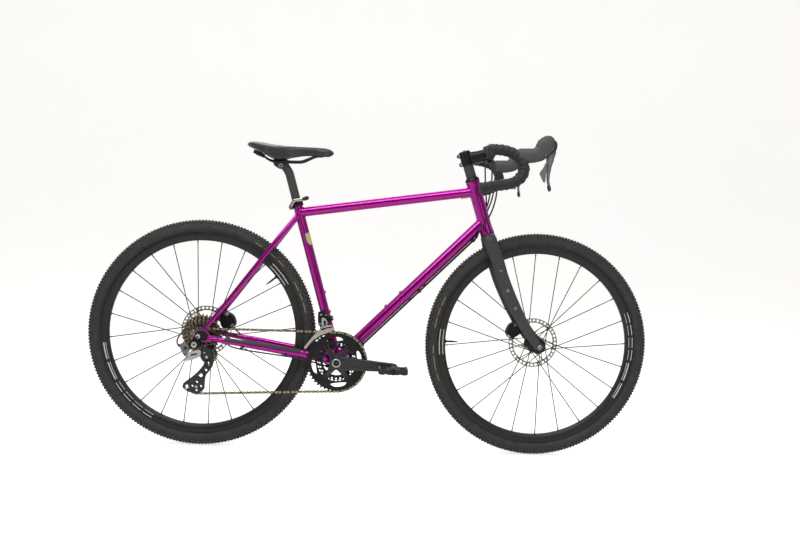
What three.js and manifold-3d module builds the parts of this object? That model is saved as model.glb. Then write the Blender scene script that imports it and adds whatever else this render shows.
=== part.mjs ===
// A gravel bicycle with drop handlebars, disc brakes and a double chainset.
// Millimetres. +X is forwards, +Y is the rider's left, +Z is up. The origin is on the ground,
// midway between the axles, in the plane of the wheels. The chain side is at negative Y.
import * as THREE from 'three';
import { mergeVertices } from 'three/addons/utils/BufferGeometryUtils.js';
import Module from 'manifold-3d';

const wasm = await Module();
wasm.setup();

// ---------- driving dimensions ----------

const GAP = 0.3; // clearance left between neighbouring pieces

const WHEELBASE = 1060;
const TYRE_RADIUS = 357;
const RIM_RADIUS = 317;
const RIM_DEPTH = 26;
const RIM_WIDTH = 27;
const SPOKE_RADIUS = 1.1;
const SPOKES_PER_SIDE = 12;
const ROTOR_RADIUS = 80;
const ROTOR_THICKNESS = 1.8;

const AXLE_Z = TYRE_RADIUS;
const REAR_X = -WHEELBASE / 2;
const FRONT_X = WHEELBASE / 2;
const REAR_HALF_WIDTH = 71; // half of the 142 mm rear axle standard
const FRONT_HALF_WIDTH = 50; // half of the 100 mm front axle standard
const REAR_ROTOR_Y = 55.7;
const FRONT_ROTOR_Y = 40;
const AXLE_RADIUS = 6;

const BB_X = -104;
const BB_Z = 287;
const BB_SHELL_RADIUS = 21;
const BB_SHELL_HALF = 34;
const SPINDLE_RADIUS = 12;

const SEAT_ANGLE = 73.6;
const SEAT_TUBE_LENGTH = 508;
const SEAT_TUBE_RADIUS = 14.8;
const SEAT_TUBE_BORE = 13.9;
const POST_RADIUS = 13.6;

const HEAD_ANGLE = 71.5;
const HEAD_X = 357; // lower end of the head tube
const HEAD_Z = 708;
const HEAD_LENGTH = 170.5;
const HEAD_BORE = 16.5;
const STEERER_RADIUS = 14.3;

const TOP_TUBE_RADIUS = 15;
const DOWN_TUBE_RADIUS = 17.5;
const TUBE_WALL = 1.4;

const CRANK_LENGTH = 175;
const CRANK_ANGLE = -3; // the right crank points forwards and slightly down
const BIG_RING_TEETH = 46;
const SMALL_RING_TEETH = 30;
const BIG_RING_Y = -50.5;
const SMALL_RING_Y = -43;
const CHAIN_PITCH = 12.7;
const COG_TEETH = [11, 12, 13, 14, 15, 17, 19, 21, 24, 27, 30];
const COG_SPACING = 3.74;
const SMALL_COG_Y = -60.5;
const PULLEY_TEETH = 11;

const GUIDE_X = -497;
const GUIDE_Z = 297;
const TENSION_X = -532;
const TENSION_Z = 198;

const BAR_X = 348; // middle of the handlebar where the stem holds it
const BAR_Z = 956;
const BAR_CLAMP_RADIUS = 15.9;
const BAR_RADIUS = 11.9;
const TAPE_RADIUS = 15.8;

// ---------- colours ----------

function material(color, roughness, metalness) {
  return new THREE.MeshStandardMaterial({ color, roughness, metalness });
}

const paint = () => material(0xa80a8c, 0.25, 0.6);
const carbon = () => material(0x3c3b3a, 0.55, 0.0);
const rubber = () => material(0x2e2e2d, 0.9, 0.0);
const blackMetal = () => material(0x1e1e20, 0.45, 0.7);
const greyMetal = () => material(0x48484a, 0.4, 0.7);
const steel = () => material(0x9c968c, 0.3, 1.0);
const nickel = () => material(0x8a7c66, 0.35, 1.0);
const plastic = () => material(0x1b1b1c, 0.6, 0.0);
const hoodRubber = () => material(0x4a4a4a, 0.8, 0.0);

// ---------- solids ----------

const V = (x, y, z) => new THREE.Vector3(x, y, z);
const radians = THREE.MathUtils.degToRad;

// A closed body from a three.js geometry, with its faces pointing out.
function solid(geometry) {
  const bare = geometry.clone();
  for (const name of ['normal', 'uv', 'color']) bare.deleteAttribute(name);
  const merged = mergeVertices(bare, 1e-4);
  const position = merged.attributes.position;
  const corners = merged.index.array;
  const kept = [];
  let volume = 0;
  const a = V(0, 0, 0);
  const b = V(0, 0, 0);
  const c = V(0, 0, 0);
  for (let i = 0; i < corners.length; i += 3) {
    const [p, q, r] = [corners[i], corners[i + 1], corners[i + 2]];
    if (p === q || q === r || r === p) continue;
    kept.push(p, q, r);
    a.fromBufferAttribute(position, p);
    b.fromBufferAttribute(position, q);
    c.fromBufferAttribute(position, r);
    volume += a.dot(b.cross(c));
  }
  if (volume < 0) kept.reverse();
  return new wasm.Manifold(new wasm.Mesh({
    numProp: 3,
    vertProperties: new Float32Array(position.array),
    triVerts: new Uint32Array(kept),
  }));
}

function join(...bodies) {
  return bodies.flat().reduce((whole, body) => whole.add(body));
}

function cut(body, ...tools) {
  return tools.flat().reduce((left, tool) => left.subtract(tool), body);
}

// A skin over rings of points, closed at both ends, or round in a loop.
function loft(rings, looped = false) {
  const count = rings[0].length;
  const points = rings.flat();
  const index = [];
  const last = looped ? rings.length : rings.length - 1;
  for (let i = 0; i < last; i += 1) {
    const here = i * count;
    const there = ((i + 1) % rings.length) * count;
    for (let j = 0; j < count; j += 1) {
      const k = (j + 1) % count;
      index.push(here + j, there + j, there + k, here + j, there + k, here + k);
    }
  }
  if (!looped) {
    const ends = [[rings[0], 0], [rings.at(-1), (rings.length - 1) * count]];
    for (const [ring, first] of ends) {
      const middle = points.length;
      const centre = ring.reduce((sum, point) => sum.add(point), V(0, 0, 0)).divideScalar(count);
      points.push(centre);
      for (let j = 0; j < count; j += 1) {
        const k = (j + 1) % count;
        if (first === 0) index.push(middle, first + j, first + k);
        else index.push(middle, first + k, first + j);
      }
    }
  }
  const geometry = new THREE.BufferGeometry();
  const numbers = points.flatMap((p) => p.toArray());
  geometry.setAttribute('position', new THREE.Float32BufferAttribute(numbers, 3));
  geometry.setIndex(index);
  return solid(geometry);
}

// An ellipse of points about centre, with half sizes along the unit vectors across and up.
function oval(centre, across, up, halfAcross, halfUp, sides) {
  const ring = [];
  for (let j = 0; j < sides; j += 1) {
    const angle = (2 * Math.PI * j) / sides;
    ring.push(centre.clone()
      .addScaledVector(across, halfAcross * Math.cos(angle))
      .addScaledVector(up, halfUp * Math.sin(angle)));
  }
  return ring;
}

// A round bar from a to b; radii gives its radius at even steps between them.
function rod(a, b, radii, sides = 16) {
  const sizes = Array.isArray(radii) ? radii : [radii, radii];
  const along = b.clone().sub(a).normalize();
  const guide = Math.abs(along.y) > 0.9 ? V(1, 0, 0) : V(0, 1, 0);
  const across = guide.clone().cross(along).normalize();
  const up = along.clone().cross(across);
  return loft(sizes.map((size, i) => (
    oval(a.clone().lerp(b, i / (sizes.length - 1)), across, up, size, size, sides))));
}

// A bar bent along a smooth curve through points. radiusAt gives its radius at 0 to 1 along it.
function bentBar(points, radiusAt, steps, sides) {
  const curve = new THREE.CatmullRomCurve3(points, false, 'centripetal');
  const frames = curve.computeFrenetFrames(steps, false);
  const rings = [];
  for (let i = 0; i <= steps; i += 1) {
    const t = i / steps;
    const size = radiusAt(t);
    const middle = curve.getPointAt(t);
    rings.push(oval(middle, frames.normals[i], frames.binormals[i], size, size, sides));
  }
  return loft(rings);
}

// A blade along points, its section an oval: sizes lists [half depth in the side view, half width].
function blade(points, sizes, sides = 12) {
  return loft(points.map((point, i) => {
    const before = points[Math.max(i - 1, 0)];
    const after = points[Math.min(i + 1, points.length - 1)];
    const along = after.clone().sub(before).normalize();
    const width = V(0, 1, 0).addScaledVector(along, -along.y).normalize();
    const depth = width.clone().cross(along);
    return oval(point, depth, width, sizes[i][0], sizes[i][1], sides);
  }));
}

// A body turned about the Y axis through (x, z). The profile lists [radius, y].
function turned(profile, x, z, segments) {
  const shape = profile.map(([radius, y]) => new THREE.Vector2(radius, y));
  if (profile[0][0] > 0) shape.push(shape[0].clone());
  return solid(new THREE.LatheGeometry(shape, segments).translate(x, 0, z));
}

// A flat plate between two y values. The outline and its holes list [x, z].
function plate(outline, yLow, yHigh, holes = []) {
  const shape = new THREE.Shape(outline.map(([x, z]) => new THREE.Vector2(x, z)));
  shape.holes = holes.map((hole) => new THREE.Path(hole.map(([x, z]) => new THREE.Vector2(x, z))));
  const geometry = new THREE.ExtrudeGeometry(shape, { depth: yHigh - yLow, bevelEnabled: false });
  return solid(geometry.rotateX(Math.PI / 2).translate(0, yHigh, 0));
}

function block(x, y, z, sizeX, sizeY, sizeZ, pitch = 0) {
  const geometry = new THREE.BoxGeometry(sizeX, sizeY, sizeZ);
  return solid(geometry.rotateY(radians(-pitch)).translate(x, y, z));
}

function circle(x, z, radius, count, start = 0) {
  const points = [];
  for (let i = 0; i < count; i += 1) {
    const angle = start + (2 * Math.PI * i) / count;
    points.push([x + radius * Math.cos(angle), z + radius * Math.sin(angle)]);
  }
  return points;
}

const mirrored = (body) => body.mirror([0, 1, 0]);

const pitchRadius = (teeth) => CHAIN_PITCH / (2 * Math.sin(Math.PI / teeth));

// ---------- places ----------

const HEAD_UP = V(-Math.cos(radians(HEAD_ANGLE)), 0, Math.sin(radians(HEAD_ANGLE)));
const HEAD_FRONT = V(HEAD_UP.z, 0, -HEAD_UP.x);
const SEAT_UP = V(-Math.cos(radians(SEAT_ANGLE)), 0, Math.sin(radians(SEAT_ANGLE)));
const SEAT_FRONT = V(SEAT_UP.z, 0, -SEAT_UP.x);
const BB = V(BB_X, 0, BB_Z);

const onHead = (distance) => V(HEAD_X, 0, HEAD_Z).addScaledVector(HEAD_UP, distance);
const onSeat = (distance) => BB.clone().addScaledVector(SEAT_UP, distance);

// ---------- frame ----------

const CHAINSTAY = [V(-116, 23.5, 289), V(-172, 32, 298), V(-235, 40, 307), V(-330, 52, 322),
  V(-430, 65, 338), V(-489, 74.5, 347)];
const SEATSTAY = [V(-246, 14, 736), V(-300, 33, 664), V(-360, 43, 582), V(-445, 60, 466),
  V(-509, 74.5, 381)];
const BRIDGE_SEAT = V(-310, 36, 651);
const BRIDGE_CHAIN = V(-158, 31, 296);

function dropout() {
  const outline = [[-543, 366], [-533, 374], [-516, 390], [-503, 388], [-498, 372], [-481, 354],
    [-483, 340], [-512, 338], [-532, 334], [-545, 340], [-547, 354]];
  const hole = circle(REAR_X, AXLE_Z, AXLE_RADIUS + GAP, 12);
  return plate(outline, REAR_HALF_WIDTH, REAR_HALF_WIDTH + 6, [hole]);
}

function stays() {
  const chainstay = bentBar(CHAINSTAY, (t) => 9 - 2 * t * t, 7, 8);
  const seatstay = bentBar(SEATSTAY, (t) => 8 - 1.2 * t, 6, 8);
  const side = join(chainstay, seatstay, dropout());
  const bridges = [BRIDGE_SEAT, BRIDGE_CHAIN].map((p) => rod(V(p.x, -p.y, p.z), p, 5.5, 6));
  return join(side, mirrored(side), ...bridges);
}

const DOWN_TUBE_TOP = onHead(39);
const TOP_TUBE_REAR = onSeat(481);
const TOP_TUBE_FRONT = onHead(137);
const DOWN_TUBE_ALONG = DOWN_TUBE_TOP.clone().sub(BB).normalize();
const DOWN_TUBE_OUT = V(-DOWN_TUBE_ALONG.z, 0, DOWN_TUBE_ALONG.x);
const onDown = (distance) => BB.clone().addScaledVector(DOWN_TUBE_ALONG, distance);
const DOWN_TUBE_BOSSES = [229, 293]; // distances from the bottom bracket, 64 mm apart
const SEAT_TUBE_BOSSES = [155, 219];
const BOSS_HEIGHT = 2;

// A raised seat with a flat top for a bottle cage, square to the tube it stands on.
function bottleBoss(point, out, tubeRadius) {
  return rod(point, point.clone().addScaledVector(out, tubeRadius + BOSS_HEIGHT), 5, 8);
}

function bosses() {
  const onDownTube = DOWN_TUBE_BOSSES.map((distance) => (
    bottleBoss(onDown(distance), DOWN_TUBE_OUT, DOWN_TUBE_RADIUS)));
  const onSeatTube = SEAT_TUBE_BOSSES.map((distance) => (
    bottleBoss(onSeat(distance), SEAT_FRONT, SEAT_TUBE_RADIUS)));
  return join(...onDownTube, ...onSeatTube);
}

function frame() {
  const headTube = rod(onHead(0), onHead(HEAD_LENGTH), [20.8, 18.6, 18.4, 18.6, 20.5]);
  const topTube = rod(TOP_TUBE_REAR, TOP_TUBE_FRONT, TOP_TUBE_RADIUS);
  const downTube = rod(BB, DOWN_TUBE_TOP, DOWN_TUBE_RADIUS);
  const seatTube = rod(BB, onSeat(SEAT_TUBE_LENGTH), SEAT_TUBE_RADIUS);
  const shell = rod(V(BB_X, -BB_SHELL_HALF, BB_Z), V(BB_X, BB_SHELL_HALF, BB_Z), BB_SHELL_RADIUS);
  const whole = join(headTube, topTube, downTube, seatTube, shell, stays(), bosses());
  const bores = [
    rod(onHead(-1), onHead(HEAD_LENGTH + 1), HEAD_BORE, 10),
    rod(onSeat(8), onSeat(SEAT_TUBE_LENGTH + 1), SEAT_TUBE_BORE + 0.2, 14),
    rod(V(BB_X, -40, BB_Z), V(BB_X, 40, BB_Z), 18),
    rod(BB, DOWN_TUBE_TOP, DOWN_TUBE_RADIUS - TUBE_WALL, 6),
    rod(TOP_TUBE_REAR, TOP_TUBE_FRONT, TOP_TUBE_RADIUS - TUBE_WALL, 6),
  ];
  return cut(whole, ...bores);
}

// ---------- bottom bracket and headset ----------

function bottomBracket() {
  const inner = SPINDLE_RADIUS + GAP;
  return turned([[inner, -44.5], [20.5, -44.5], [20.5, -34.3], [17, -34.3], [17, 34.3],
    [20.5, 34.3], [20.5, 44.5], [inner, 44.5]], BB_X, BB_Z, 16);
}

const TOP_CUP_HEIGHT = 13;
const SPACER_TOP = HEAD_LENGTH + 53;
const STEM_HEIGHT = 42;

function upperCup() {
  const [bottom, top] = [HEAD_LENGTH + GAP, HEAD_LENGTH + TOP_CUP_HEIGHT];
  const outside = rod(onHead(bottom), onHead(top), [20.5, 19.5, 17]);
  return cut(outside, rod(onHead(bottom - 1), onHead(top + 7), STEERER_RADIUS + GAP));
}

function headsetSpacers() {
  const from = HEAD_LENGTH + TOP_CUP_HEIGHT + GAP;
  const outside = rod(onHead(from), onHead(SPACER_TOP - GAP), 16.2);
  return cut(outside, rod(onHead(from - 1), onHead(SPACER_TOP + 1), STEERER_RADIUS + GAP));
}

// ---------- fork ----------

const FORK_LEG = [V(364, 31, 684), V(384, 44, 628), V(406, 50.5, 560), V(437, 54, 494),
  V(472, 57, 434), V(503, 58.5, 389), V(530, 57.5, 352)];
const FORK_LEG_SIZES = [[19, 12], [17.5, 10], [16.5, 9], [15, 8.5], [13.5, 8], [12, 7.5], [11, 7]];

function fork() {
  const leg = blade(FORK_LEG, FORK_LEG_SIZES, 8);
  const legs = join(leg, mirrored(leg));
  const crown = blade([V(361, -34, 688), V(360, -16, 697), V(360, 16, 697), V(361, 34, 688)],
    [[16, 13], [18, 10], [18, 10], [16, 13]], 8);
  const race = rod(onHead(-14), onHead(-GAP), [20, 20.5]);
  const steerer = rod(onHead(-10), onHead(SPACER_TOP + STEM_HEIGHT - 3), STEERER_RADIUS);
  const roomRadius = TYRE_RADIUS + 5;
  const tyreRoom = turned([[0, -27], [roomRadius, -27], [roomRadius, 27], [0, 27]],
    FRONT_X, AXLE_Z, 28);
  const hubRoom = block(FRONT_X, 0, AXLE_Z, 90, 2 * FRONT_HALF_WIDTH, 90);
  const axleHole = rod(V(FRONT_X, -80, AXLE_Z), V(FRONT_X, 80, AXLE_Z), AXLE_RADIUS + GAP, 12);
  const bridge = block(361, 0, 692, 34, 62, 16, 90 - HEAD_ANGLE);
  return cut(join(legs, crown, bridge, race, steerer), tyreRoom, hubRoom, axleHole);
}

// ---------- stem and handlebar ----------

const STEM_MIDDLE = SPACER_TOP + STEM_HEIGHT / 2;
const BAR_MIDDLE = V(BAR_X, 0, BAR_Z);
const STEM_ALONG = BAR_MIDDLE.clone().sub(onHead(STEM_MIDDLE)).normalize();
const STEM_PITCH = THREE.MathUtils.radToDeg(Math.asin(STEM_ALONG.z));

const atBar = (distance) => BAR_MIDDLE.clone().addScaledVector(STEM_ALONG, distance);

// A block square to the stem, its middle at the given distance in front of the bar's middle.
function stemBlock(distance, sizeAlong, sizeY, sizeUp, lift = 0) {
  const middle = atBar(distance).add(V(-lift * STEM_ALONG.z, 0, lift * STEM_ALONG.x));
  return block(middle.x, middle.y, middle.z, sizeAlong, sizeY, sizeUp, STEM_PITCH);
}

function barBore(radius, halfWidth) {
  return rod(V(BAR_X, -halfWidth, BAR_Z), V(BAR_X, halfWidth, BAR_Z), radius, 16);
}

function stem() {
  const top = SPACER_TOP + STEM_HEIGHT;
  const clamp = rod(onHead(SPACER_TOP), onHead(top), 18.5);
  const [pinchLow, pinchHigh] = [-16, 16].map((distance) => (
    onHead(STEM_MIDDLE + distance).addScaledVector(HEAD_FRONT, -20)));
  const pinch = rod(pinchLow, pinchHigh, 7, 8);
  const places = [onHead(STEM_MIDDLE), atBar(-28), atBar(-6)];
  const arm = blade(places, [[17, 16], [16, 16], [20, 21]], 12);
  const front = stemBlock(9.2, 20, 60, 60);
  const bore = rod(onHead(SPACER_TOP - 1), onHead(top + 1), STEERER_RADIUS + GAP);
  return cut(join(clamp, pinch, arm), bore, barBore(BAR_CLAMP_RADIUS + 2 * GAP, 40), front);
}

function stemFaceplate() {
  const outside = barBore(20.5, 21);
  const ears = [-23, 23].map((lift) => stemBlock(3.5, 8, 40, 9, lift));
  const back = stemBlock(-29.2, 60, 80, 80);
  return cut(join(outside, ...ears), barBore(BAR_CLAMP_RADIUS + 2 * GAP, 40), back);
}

// The right half of the bar, from the stem along the tops, over the ramp and round the drop.
const BAR_HALF = [V(348, 0, 956), V(347, -60, 956), V(338, -130, 955), V(329, -178, 954),
  V(337, -205, 953), V(368, -214, 950), V(399, -217, 938), V(418, -219, 916), V(423, -220, 895),
  V(414, -222, 873), V(390, -225, 857), V(350, -229, 848), V(297, -233, 838)];
const BAR_STEPS = 22;
const TAPE_FIRST_STEP = 3; // the tape runs from here to the bar's end

// Round sections of the right half of the bar, from one step to another, radiusAt(step) wide.
function barSections(from, to, radiusAt) {
  const curve = new THREE.CatmullRomCurve3(BAR_HALF, false, 'centripetal');
  const frames = curve.computeFrenetFrames(BAR_STEPS, false);
  const rings = [];
  for (let i = from; i <= to; i += 1) {
    const size = radiusAt(i);
    const middle = curve.getPointAt(i / BAR_STEPS);
    rings.push(oval(middle, frames.normals[i], frames.binormals[i], size, size, 8));
  }
  return rings;
}

function handlebar() {
  const right = barSections(0, BAR_STEPS, (i) => (i < 2 ? BAR_CLAMP_RADIUS : BAR_RADIUS));
  const left = right.slice(1).map((ring) => ring.map((p) => V(p.x, -p.y, p.z)));
  return loft([...right.reverse(), ...left]);
}

// A sleeve round the bar, open at both ends.
function barTape() {
  const outside = barSections(TAPE_FIRST_STEP, BAR_STEPS, () => TAPE_RADIUS);
  const inside = barSections(TAPE_FIRST_STEP, BAR_STEPS, () => BAR_RADIUS + GAP);
  return loft([...outside, ...inside.reverse()], true);
}

// ---------- levers ----------

const HOOD_PLACES = [V(409, -216, 936), V(428, -216, 937), V(452, -216.5, 943), V(474, -217, 957),
  V(489, -217, 975), V(497, -217, 990)];
const HOOD_SIZES = [[22, 17], [21, 17], [18, 16], [19, 16], [20, 17], [13, 12]];
const LEVER_PIVOT = V(499, -218, 962);

function leverBracket() {
  const body = blade(HOOD_PLACES, HOOD_SIZES, 12);
  const barRoom = loft(barSections(9, 20, () => TAPE_RADIUS + GAP));
  const leverRoom = block(LEVER_PIVOT.x + 5, LEVER_PIVOT.y, LEVER_PIVOT.z - 14, 34, 15, 50);
  const pieces = cut(body, barRoom, leverRoom).decompose();
  return pieces.sort((a, b) => b.volume() - a.volume())[0];
}

function brakeLever() {
  const places = [V(500, -218, 968), V(503, -219, 950), V(497, -222, 918), V(489, -227, 885),
    V(486, -231, 858), V(490, -234, 836)];
  return blade(places, [[5, 5], [8, 5.5], [7, 5.5], [6, 5.5], [4.5, 5], [4, 4]], 10);
}

function shiftPaddle() {
  const outline = [[488, 925], [487, 911], [479, 888], [474, 862], [466, 880], [463, 893],
    [474, 912], [482, 925]];
  return plate(outline, -231, -227);
}

// ---------- brakes ----------

const PAD_GAP = 0.8;
const PAD_THICKNESS = 2.4;
const CALIPER_FRONT = V(468, FRONT_ROTOR_Y, 397);
const CALIPER_REAR = V(-455, REAR_ROTOR_Y, 391);

// The body straddles the rotor, with a slot open towards the axle for the rotor and the pads.
function caliper(place, pitch) {
  const body = block(place.x, place.y - 1.5, place.z, 52, 26, 26, pitch);
  const towards = V(place.x < 0 ? REAR_X : FRONT_X, place.y, AXLE_Z).sub(place).normalize();
  const slotMiddle = place.clone().addScaledVector(towards, 14);
  const slotWidth = ROTOR_THICKNESS + 2 * (PAD_GAP + PAD_THICKNESS) + 1.2;
  const slot = block(slotMiddle.x, place.y, slotMiddle.z, 60, slotWidth, 30, pitch);
  const rotorRoom = turned([[0, place.y - 1.8], [ROTOR_RADIUS + 1.5, place.y - 1.8],
    [ROTOR_RADIUS + 1.5, place.y + 1.8], [0, place.y + 1.8]], place.x < 0 ? REAR_X : FRONT_X, AXLE_Z, 32);
  return cut(body, slot, rotorRoom);
}

function brakePad(place, side, pitch) {
  const towards = V(place.x < 0 ? REAR_X : FRONT_X, place.y, AXLE_Z).sub(place).normalize();
  const middle = place.clone().addScaledVector(towards, 12);
  const offset = side * (ROTOR_THICKNESS / 2 + PAD_GAP + PAD_THICKNESS / 2);
  return block(middle.x, place.y + offset, middle.z, 24, PAD_THICKNESS, 18, pitch);
}

const FRONT_CALIPER_PITCH = 128;
const REAR_CALIPER_PITCH = -8;

function frontBrakeHose() {
  const route = [V(400, 60.2, 629), V(416, 68, 560), V(443, 69, 494), V(464, 68, 440)];
  return bentBar(route, () => 2.5, 8, 6);
}

// ---------- wheels ----------

const WHEEL_SEGMENTS = 40;

function tyre(x) {
  const half = [[357, 0], [353, 12.5], [343, 20.5], [331, 22.4], [318, 10.7], [310, 9.6]];
  const other = half.slice(1).map(([radius, y]) => [radius, -y]).reverse();
  return turned([...half, ...other], x, AXLE_Z, WHEEL_SEGMENTS);
}

function rim(x) {
  const inner = RIM_RADIUS - RIM_DEPTH;
  const half = RIM_WIDTH / 2;
  const side = [[inner, 7], [inner + 8, half], [RIM_RADIUS, half], [309, half - 3.4]];
  const other = side.map(([radius, y]) => [radius, -y]).reverse();
  return turned([...other, ...side], x, AXLE_Z, WHEEL_SEGMENTS);
}

// Spokes of one side cross twice and touch where they cross.
function spokes(x, flangeY, flangeRadius, firstAngle) {
  const bars = [];
  for (let i = 0; i < SPOKES_PER_SIDE; i += 1) {
    const rimAngle = firstAngle + (2 * Math.PI * i) / SPOKES_PER_SIDE;
    const lean = (i % 2 ? 1 : -1) * radians(60);
    const start = flangeRadius + 1.6;
    const end = RIM_RADIUS - RIM_DEPTH - 2.5;
    const at = (radius, angle, y) => V(x + radius * Math.cos(angle), y, AXLE_Z + radius * Math.sin(angle));
    const hubEnd = at(start, rimAngle + lean, flangeY);
    const rimEnd = at(end, rimAngle, Math.sign(flangeY) * 1.5);
    bars.push(rod(hubEnd, rimEnd, SPOKE_RADIUS, 3));
  }
  return join(...bars);
}

const FRONT_FLANGES = [24, -37];
const REAR_FLANGES = [34, -17];
const FLANGE_RADIUS = 24;
const FREEHUB_INNER = 10.5;

function hub(x, halfWidth, flanges, rotorY, driveShoulder) {
  const bore = AXLE_RADIUS + GAP;
  const [left, right] = flanges;
  const end = halfWidth - GAP;
  const profile = [[bore, -end], [10, -end], [10, driveShoulder],
    [FLANGE_RADIUS, right - 1.5], [FLANGE_RADIUS, right + 1.5], [12, right + 5],
    [12, left - 5], [FLANGE_RADIUS, left - 1.5], [FLANGE_RADIUS, left + 1.5],
    [17.2, left + 4], [17.2, rotorY + 2], [10, rotorY + 3], [10, end], [bore, end]];
  return turned(profile, x, AXLE_Z, 16);
}

function rotor(x, y) {
  const holes = [circle(x, AXLE_Z, 17.6, 16)];
  const arms = 6;
  for (let i = 0; i < arms; i += 1) {
    const from = (2 * Math.PI * i) / arms;
    const window = [];
    for (const [radius, angle] of [[64, 0.12], [65, 0.5], [64, 0.9], [30, 1.0], [30, 0.45]]) {
      window.push([x + radius * Math.cos(from + angle), AXLE_Z + radius * Math.sin(from + angle)]);
    }
    holes.push(window);
  }
  const half = ROTOR_THICKNESS / 2;
  return plate(circle(x, AXLE_Z, ROTOR_RADIUS, 36), y - half, y + half, holes);
}

function thruAxle(x, rightEnd, leftEnd) {
  return join(rod(V(x, rightEnd, AXLE_Z), V(x, leftEnd, AXLE_Z), AXLE_RADIUS, 12),
    rod(V(x, leftEnd, AXLE_Z), V(x, leftEnd + 5, AXLE_Z), 9, 12));
}

// ---------- gears and chain ----------

function cassette() {
  const count = COG_TEETH.length;
  const profile = [[FREEHUB_INNER, SMALL_COG_Y - 3], [17, SMALL_COG_Y - 3], [17, SMALL_COG_Y - 0.8],
    [24.2, SMALL_COG_Y - 0.8], [24.2, SMALL_COG_Y + 0.8], [18.4, SMALL_COG_Y + 0.8]];
  for (let i = 1; i < count; i += 1) {
    const tip = pitchRadius(COG_TEETH[i]) + 3;
    const y = SMALL_COG_Y + i * COG_SPACING - 0.8;
    profile.push([i === 1 ? 18.4 : pitchRadius(COG_TEETH[i - 1]) + 3, y], [tip, y]);
  }
  const inner = SMALL_COG_Y + (count - 1) * COG_SPACING + 0.8;
  profile.push([pitchRadius(COG_TEETH.at(-1)) + 3, inner], [FREEHUB_INNER, inner]);
  return turned(profile, REAR_X, AXLE_Z, 16);
}

// A toothed outline: roots and tips alternate round the pitch circle.
function toothed(x, z, teeth, phase) {
  const points = [];
  const radius = pitchRadius(teeth);
  for (let i = 0; i < teeth; i += 1) {
    const middle = phase + (2 * Math.PI * i) / teeth;
    for (const [share, lift] of [[-0.25, -3], [0.25, 2.6]]) {
      const angle = middle + (share * 2 * Math.PI) / teeth;
      points.push([x + (radius + lift) * Math.cos(angle), z + (radius + lift) * Math.sin(angle)]);
    }
  }
  return points;
}

function chainring(teeth, y, innerRadius) {
  const outline = toothed(BB_X, BB_Z, teeth, 0);
  return plate(outline, y - 0.95, y + 0.95, [circle(BB_X, BB_Z, innerRadius, 24)]);
}

const wheelAt = (x, z, teeth, turn) => ({ x, z, radius: pitchRadius(teeth), turn });

// The chain's pitch line: straight runs between toothed wheels, and arcs round them.
// turn is 1 for a wheel that the chain passes clockwise, seen from the chain side.
function chainLine(wheels, arcStep, runStep) {
  const leaving = wheels.map((wheel, i) => {
    const next = wheels[(i + 1) % wheels.length];
    const run = Math.hypot(next.x - wheel.x, next.z - wheel.z);
    const bearing = Math.atan2(next.z - wheel.z, next.x - wheel.x);
    const lean = Math.asin((wheel.turn * wheel.radius - next.turn * next.radius) / run);
    return bearing - lean + Math.PI / 2;
  });
  const points = [];
  wheels.forEach((wheel, i) => {
    const arrive = leaving[(i + wheels.length - 1) % wheels.length];
    const leave = leaving[i];
    let sweep = (wheel.turn * (arrive - leave)) % (2 * Math.PI);
    if (sweep < 0) sweep += 2 * Math.PI;
    const count = Math.max(2, Math.round(sweep / arcStep));
    const side = wheel.turn * wheel.radius;
    for (let k = 0; k <= count; k += 1) {
      const angle = arrive - (wheel.turn * sweep * k) / count;
      points.push({ x: wheel.x + side * Math.cos(angle), z: wheel.z + side * Math.sin(angle) });
    }
    const next = wheels[(i + 1) % wheels.length];
    const from = points.at(-1);
    const nextSide = next.turn * next.radius;
    const to = { x: next.x + nextSide * Math.cos(leave), z: next.z + nextSide * Math.sin(leave) };
    const run = { x: to.x - from.x, z: to.z - from.z };
    const steps = Math.round(Math.hypot(run.x, run.z) / runStep);
    for (let k = 1; k < steps; k += 1) {
      points.push({ x: from.x + (run.x * k) / steps, z: from.z + (run.z * k) / steps });
    }
  });
  return points;
}

const CHAIN_WHEELS = [
  wheelAt(REAR_X, AXLE_Z, COG_TEETH[0], 1),
  wheelAt(BB_X, BB_Z, BIG_RING_TEETH, 1),
  wheelAt(TENSION_X, TENSION_Z, PULLEY_TEETH, 1),
  wheelAt(GUIDE_X, GUIDE_Z, PULLEY_TEETH, -1),
];
const CHAIN_RUN_REAR = -480; // between these the chain crosses from the cog's plane to the ring's
const CHAIN_RUN_FRONT = -210;

function chainY(x) {
  const share = THREE.MathUtils.clamp((x - CHAIN_RUN_REAR) / (CHAIN_RUN_FRONT - CHAIN_RUN_REAR), 0, 1);
  return SMALL_COG_Y + share * (BIG_RING_Y - SMALL_COG_Y);
}

// Two rows of link plates, one on each side of the teeth, held together by pins on the free runs.
function chain() {
  const line = chainLine(CHAIN_WHEELS, 0.3, 90);
  const row = (near, far) => loft(line.map((point, i) => {
    const before = line[(i + line.length - 1) % line.length];
    const after = line[(i + 1) % line.length];
    const run = Math.hypot(after.x - before.x, after.z - before.z);
    const out = [-(after.z - before.z) / run, (after.x - before.x) / run];
    const y = chainY(point.x);
    return [[3.6, near], [3.6, far], [-3.6, far], [-3.6, near]].map(([lift, aside]) => (
      V(point.x + lift * out[0], y + aside, point.z + lift * out[1])));
  }), true);
  const pins = [-460, -360, -260].flatMap((x) => {
    const upper = line.filter((p) => p.z > 340 && Math.abs(p.x - x) < 60);
    const y = chainY(x);
    const z = upper.reduce((sum, p) => sum + p.z, 0) / upper.length;
    return [rod(V(x, y - 2, z), V(x, y + 2, z), 2.2, 6)];
  });
  return join(row(1.3, 2.6), row(-2.6, -1.3), ...pins);
}

// ---------- cranks and pedals ----------

const CRANK_ALONG = V(Math.cos(radians(CRANK_ANGLE)), 0, Math.sin(radians(CRANK_ANGLE)));
const onCrank = (distance, y) => BB.clone().addScaledVector(CRANK_ALONG, distance).add(V(0, y, 0));
const PEDAL_END = 142;

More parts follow.
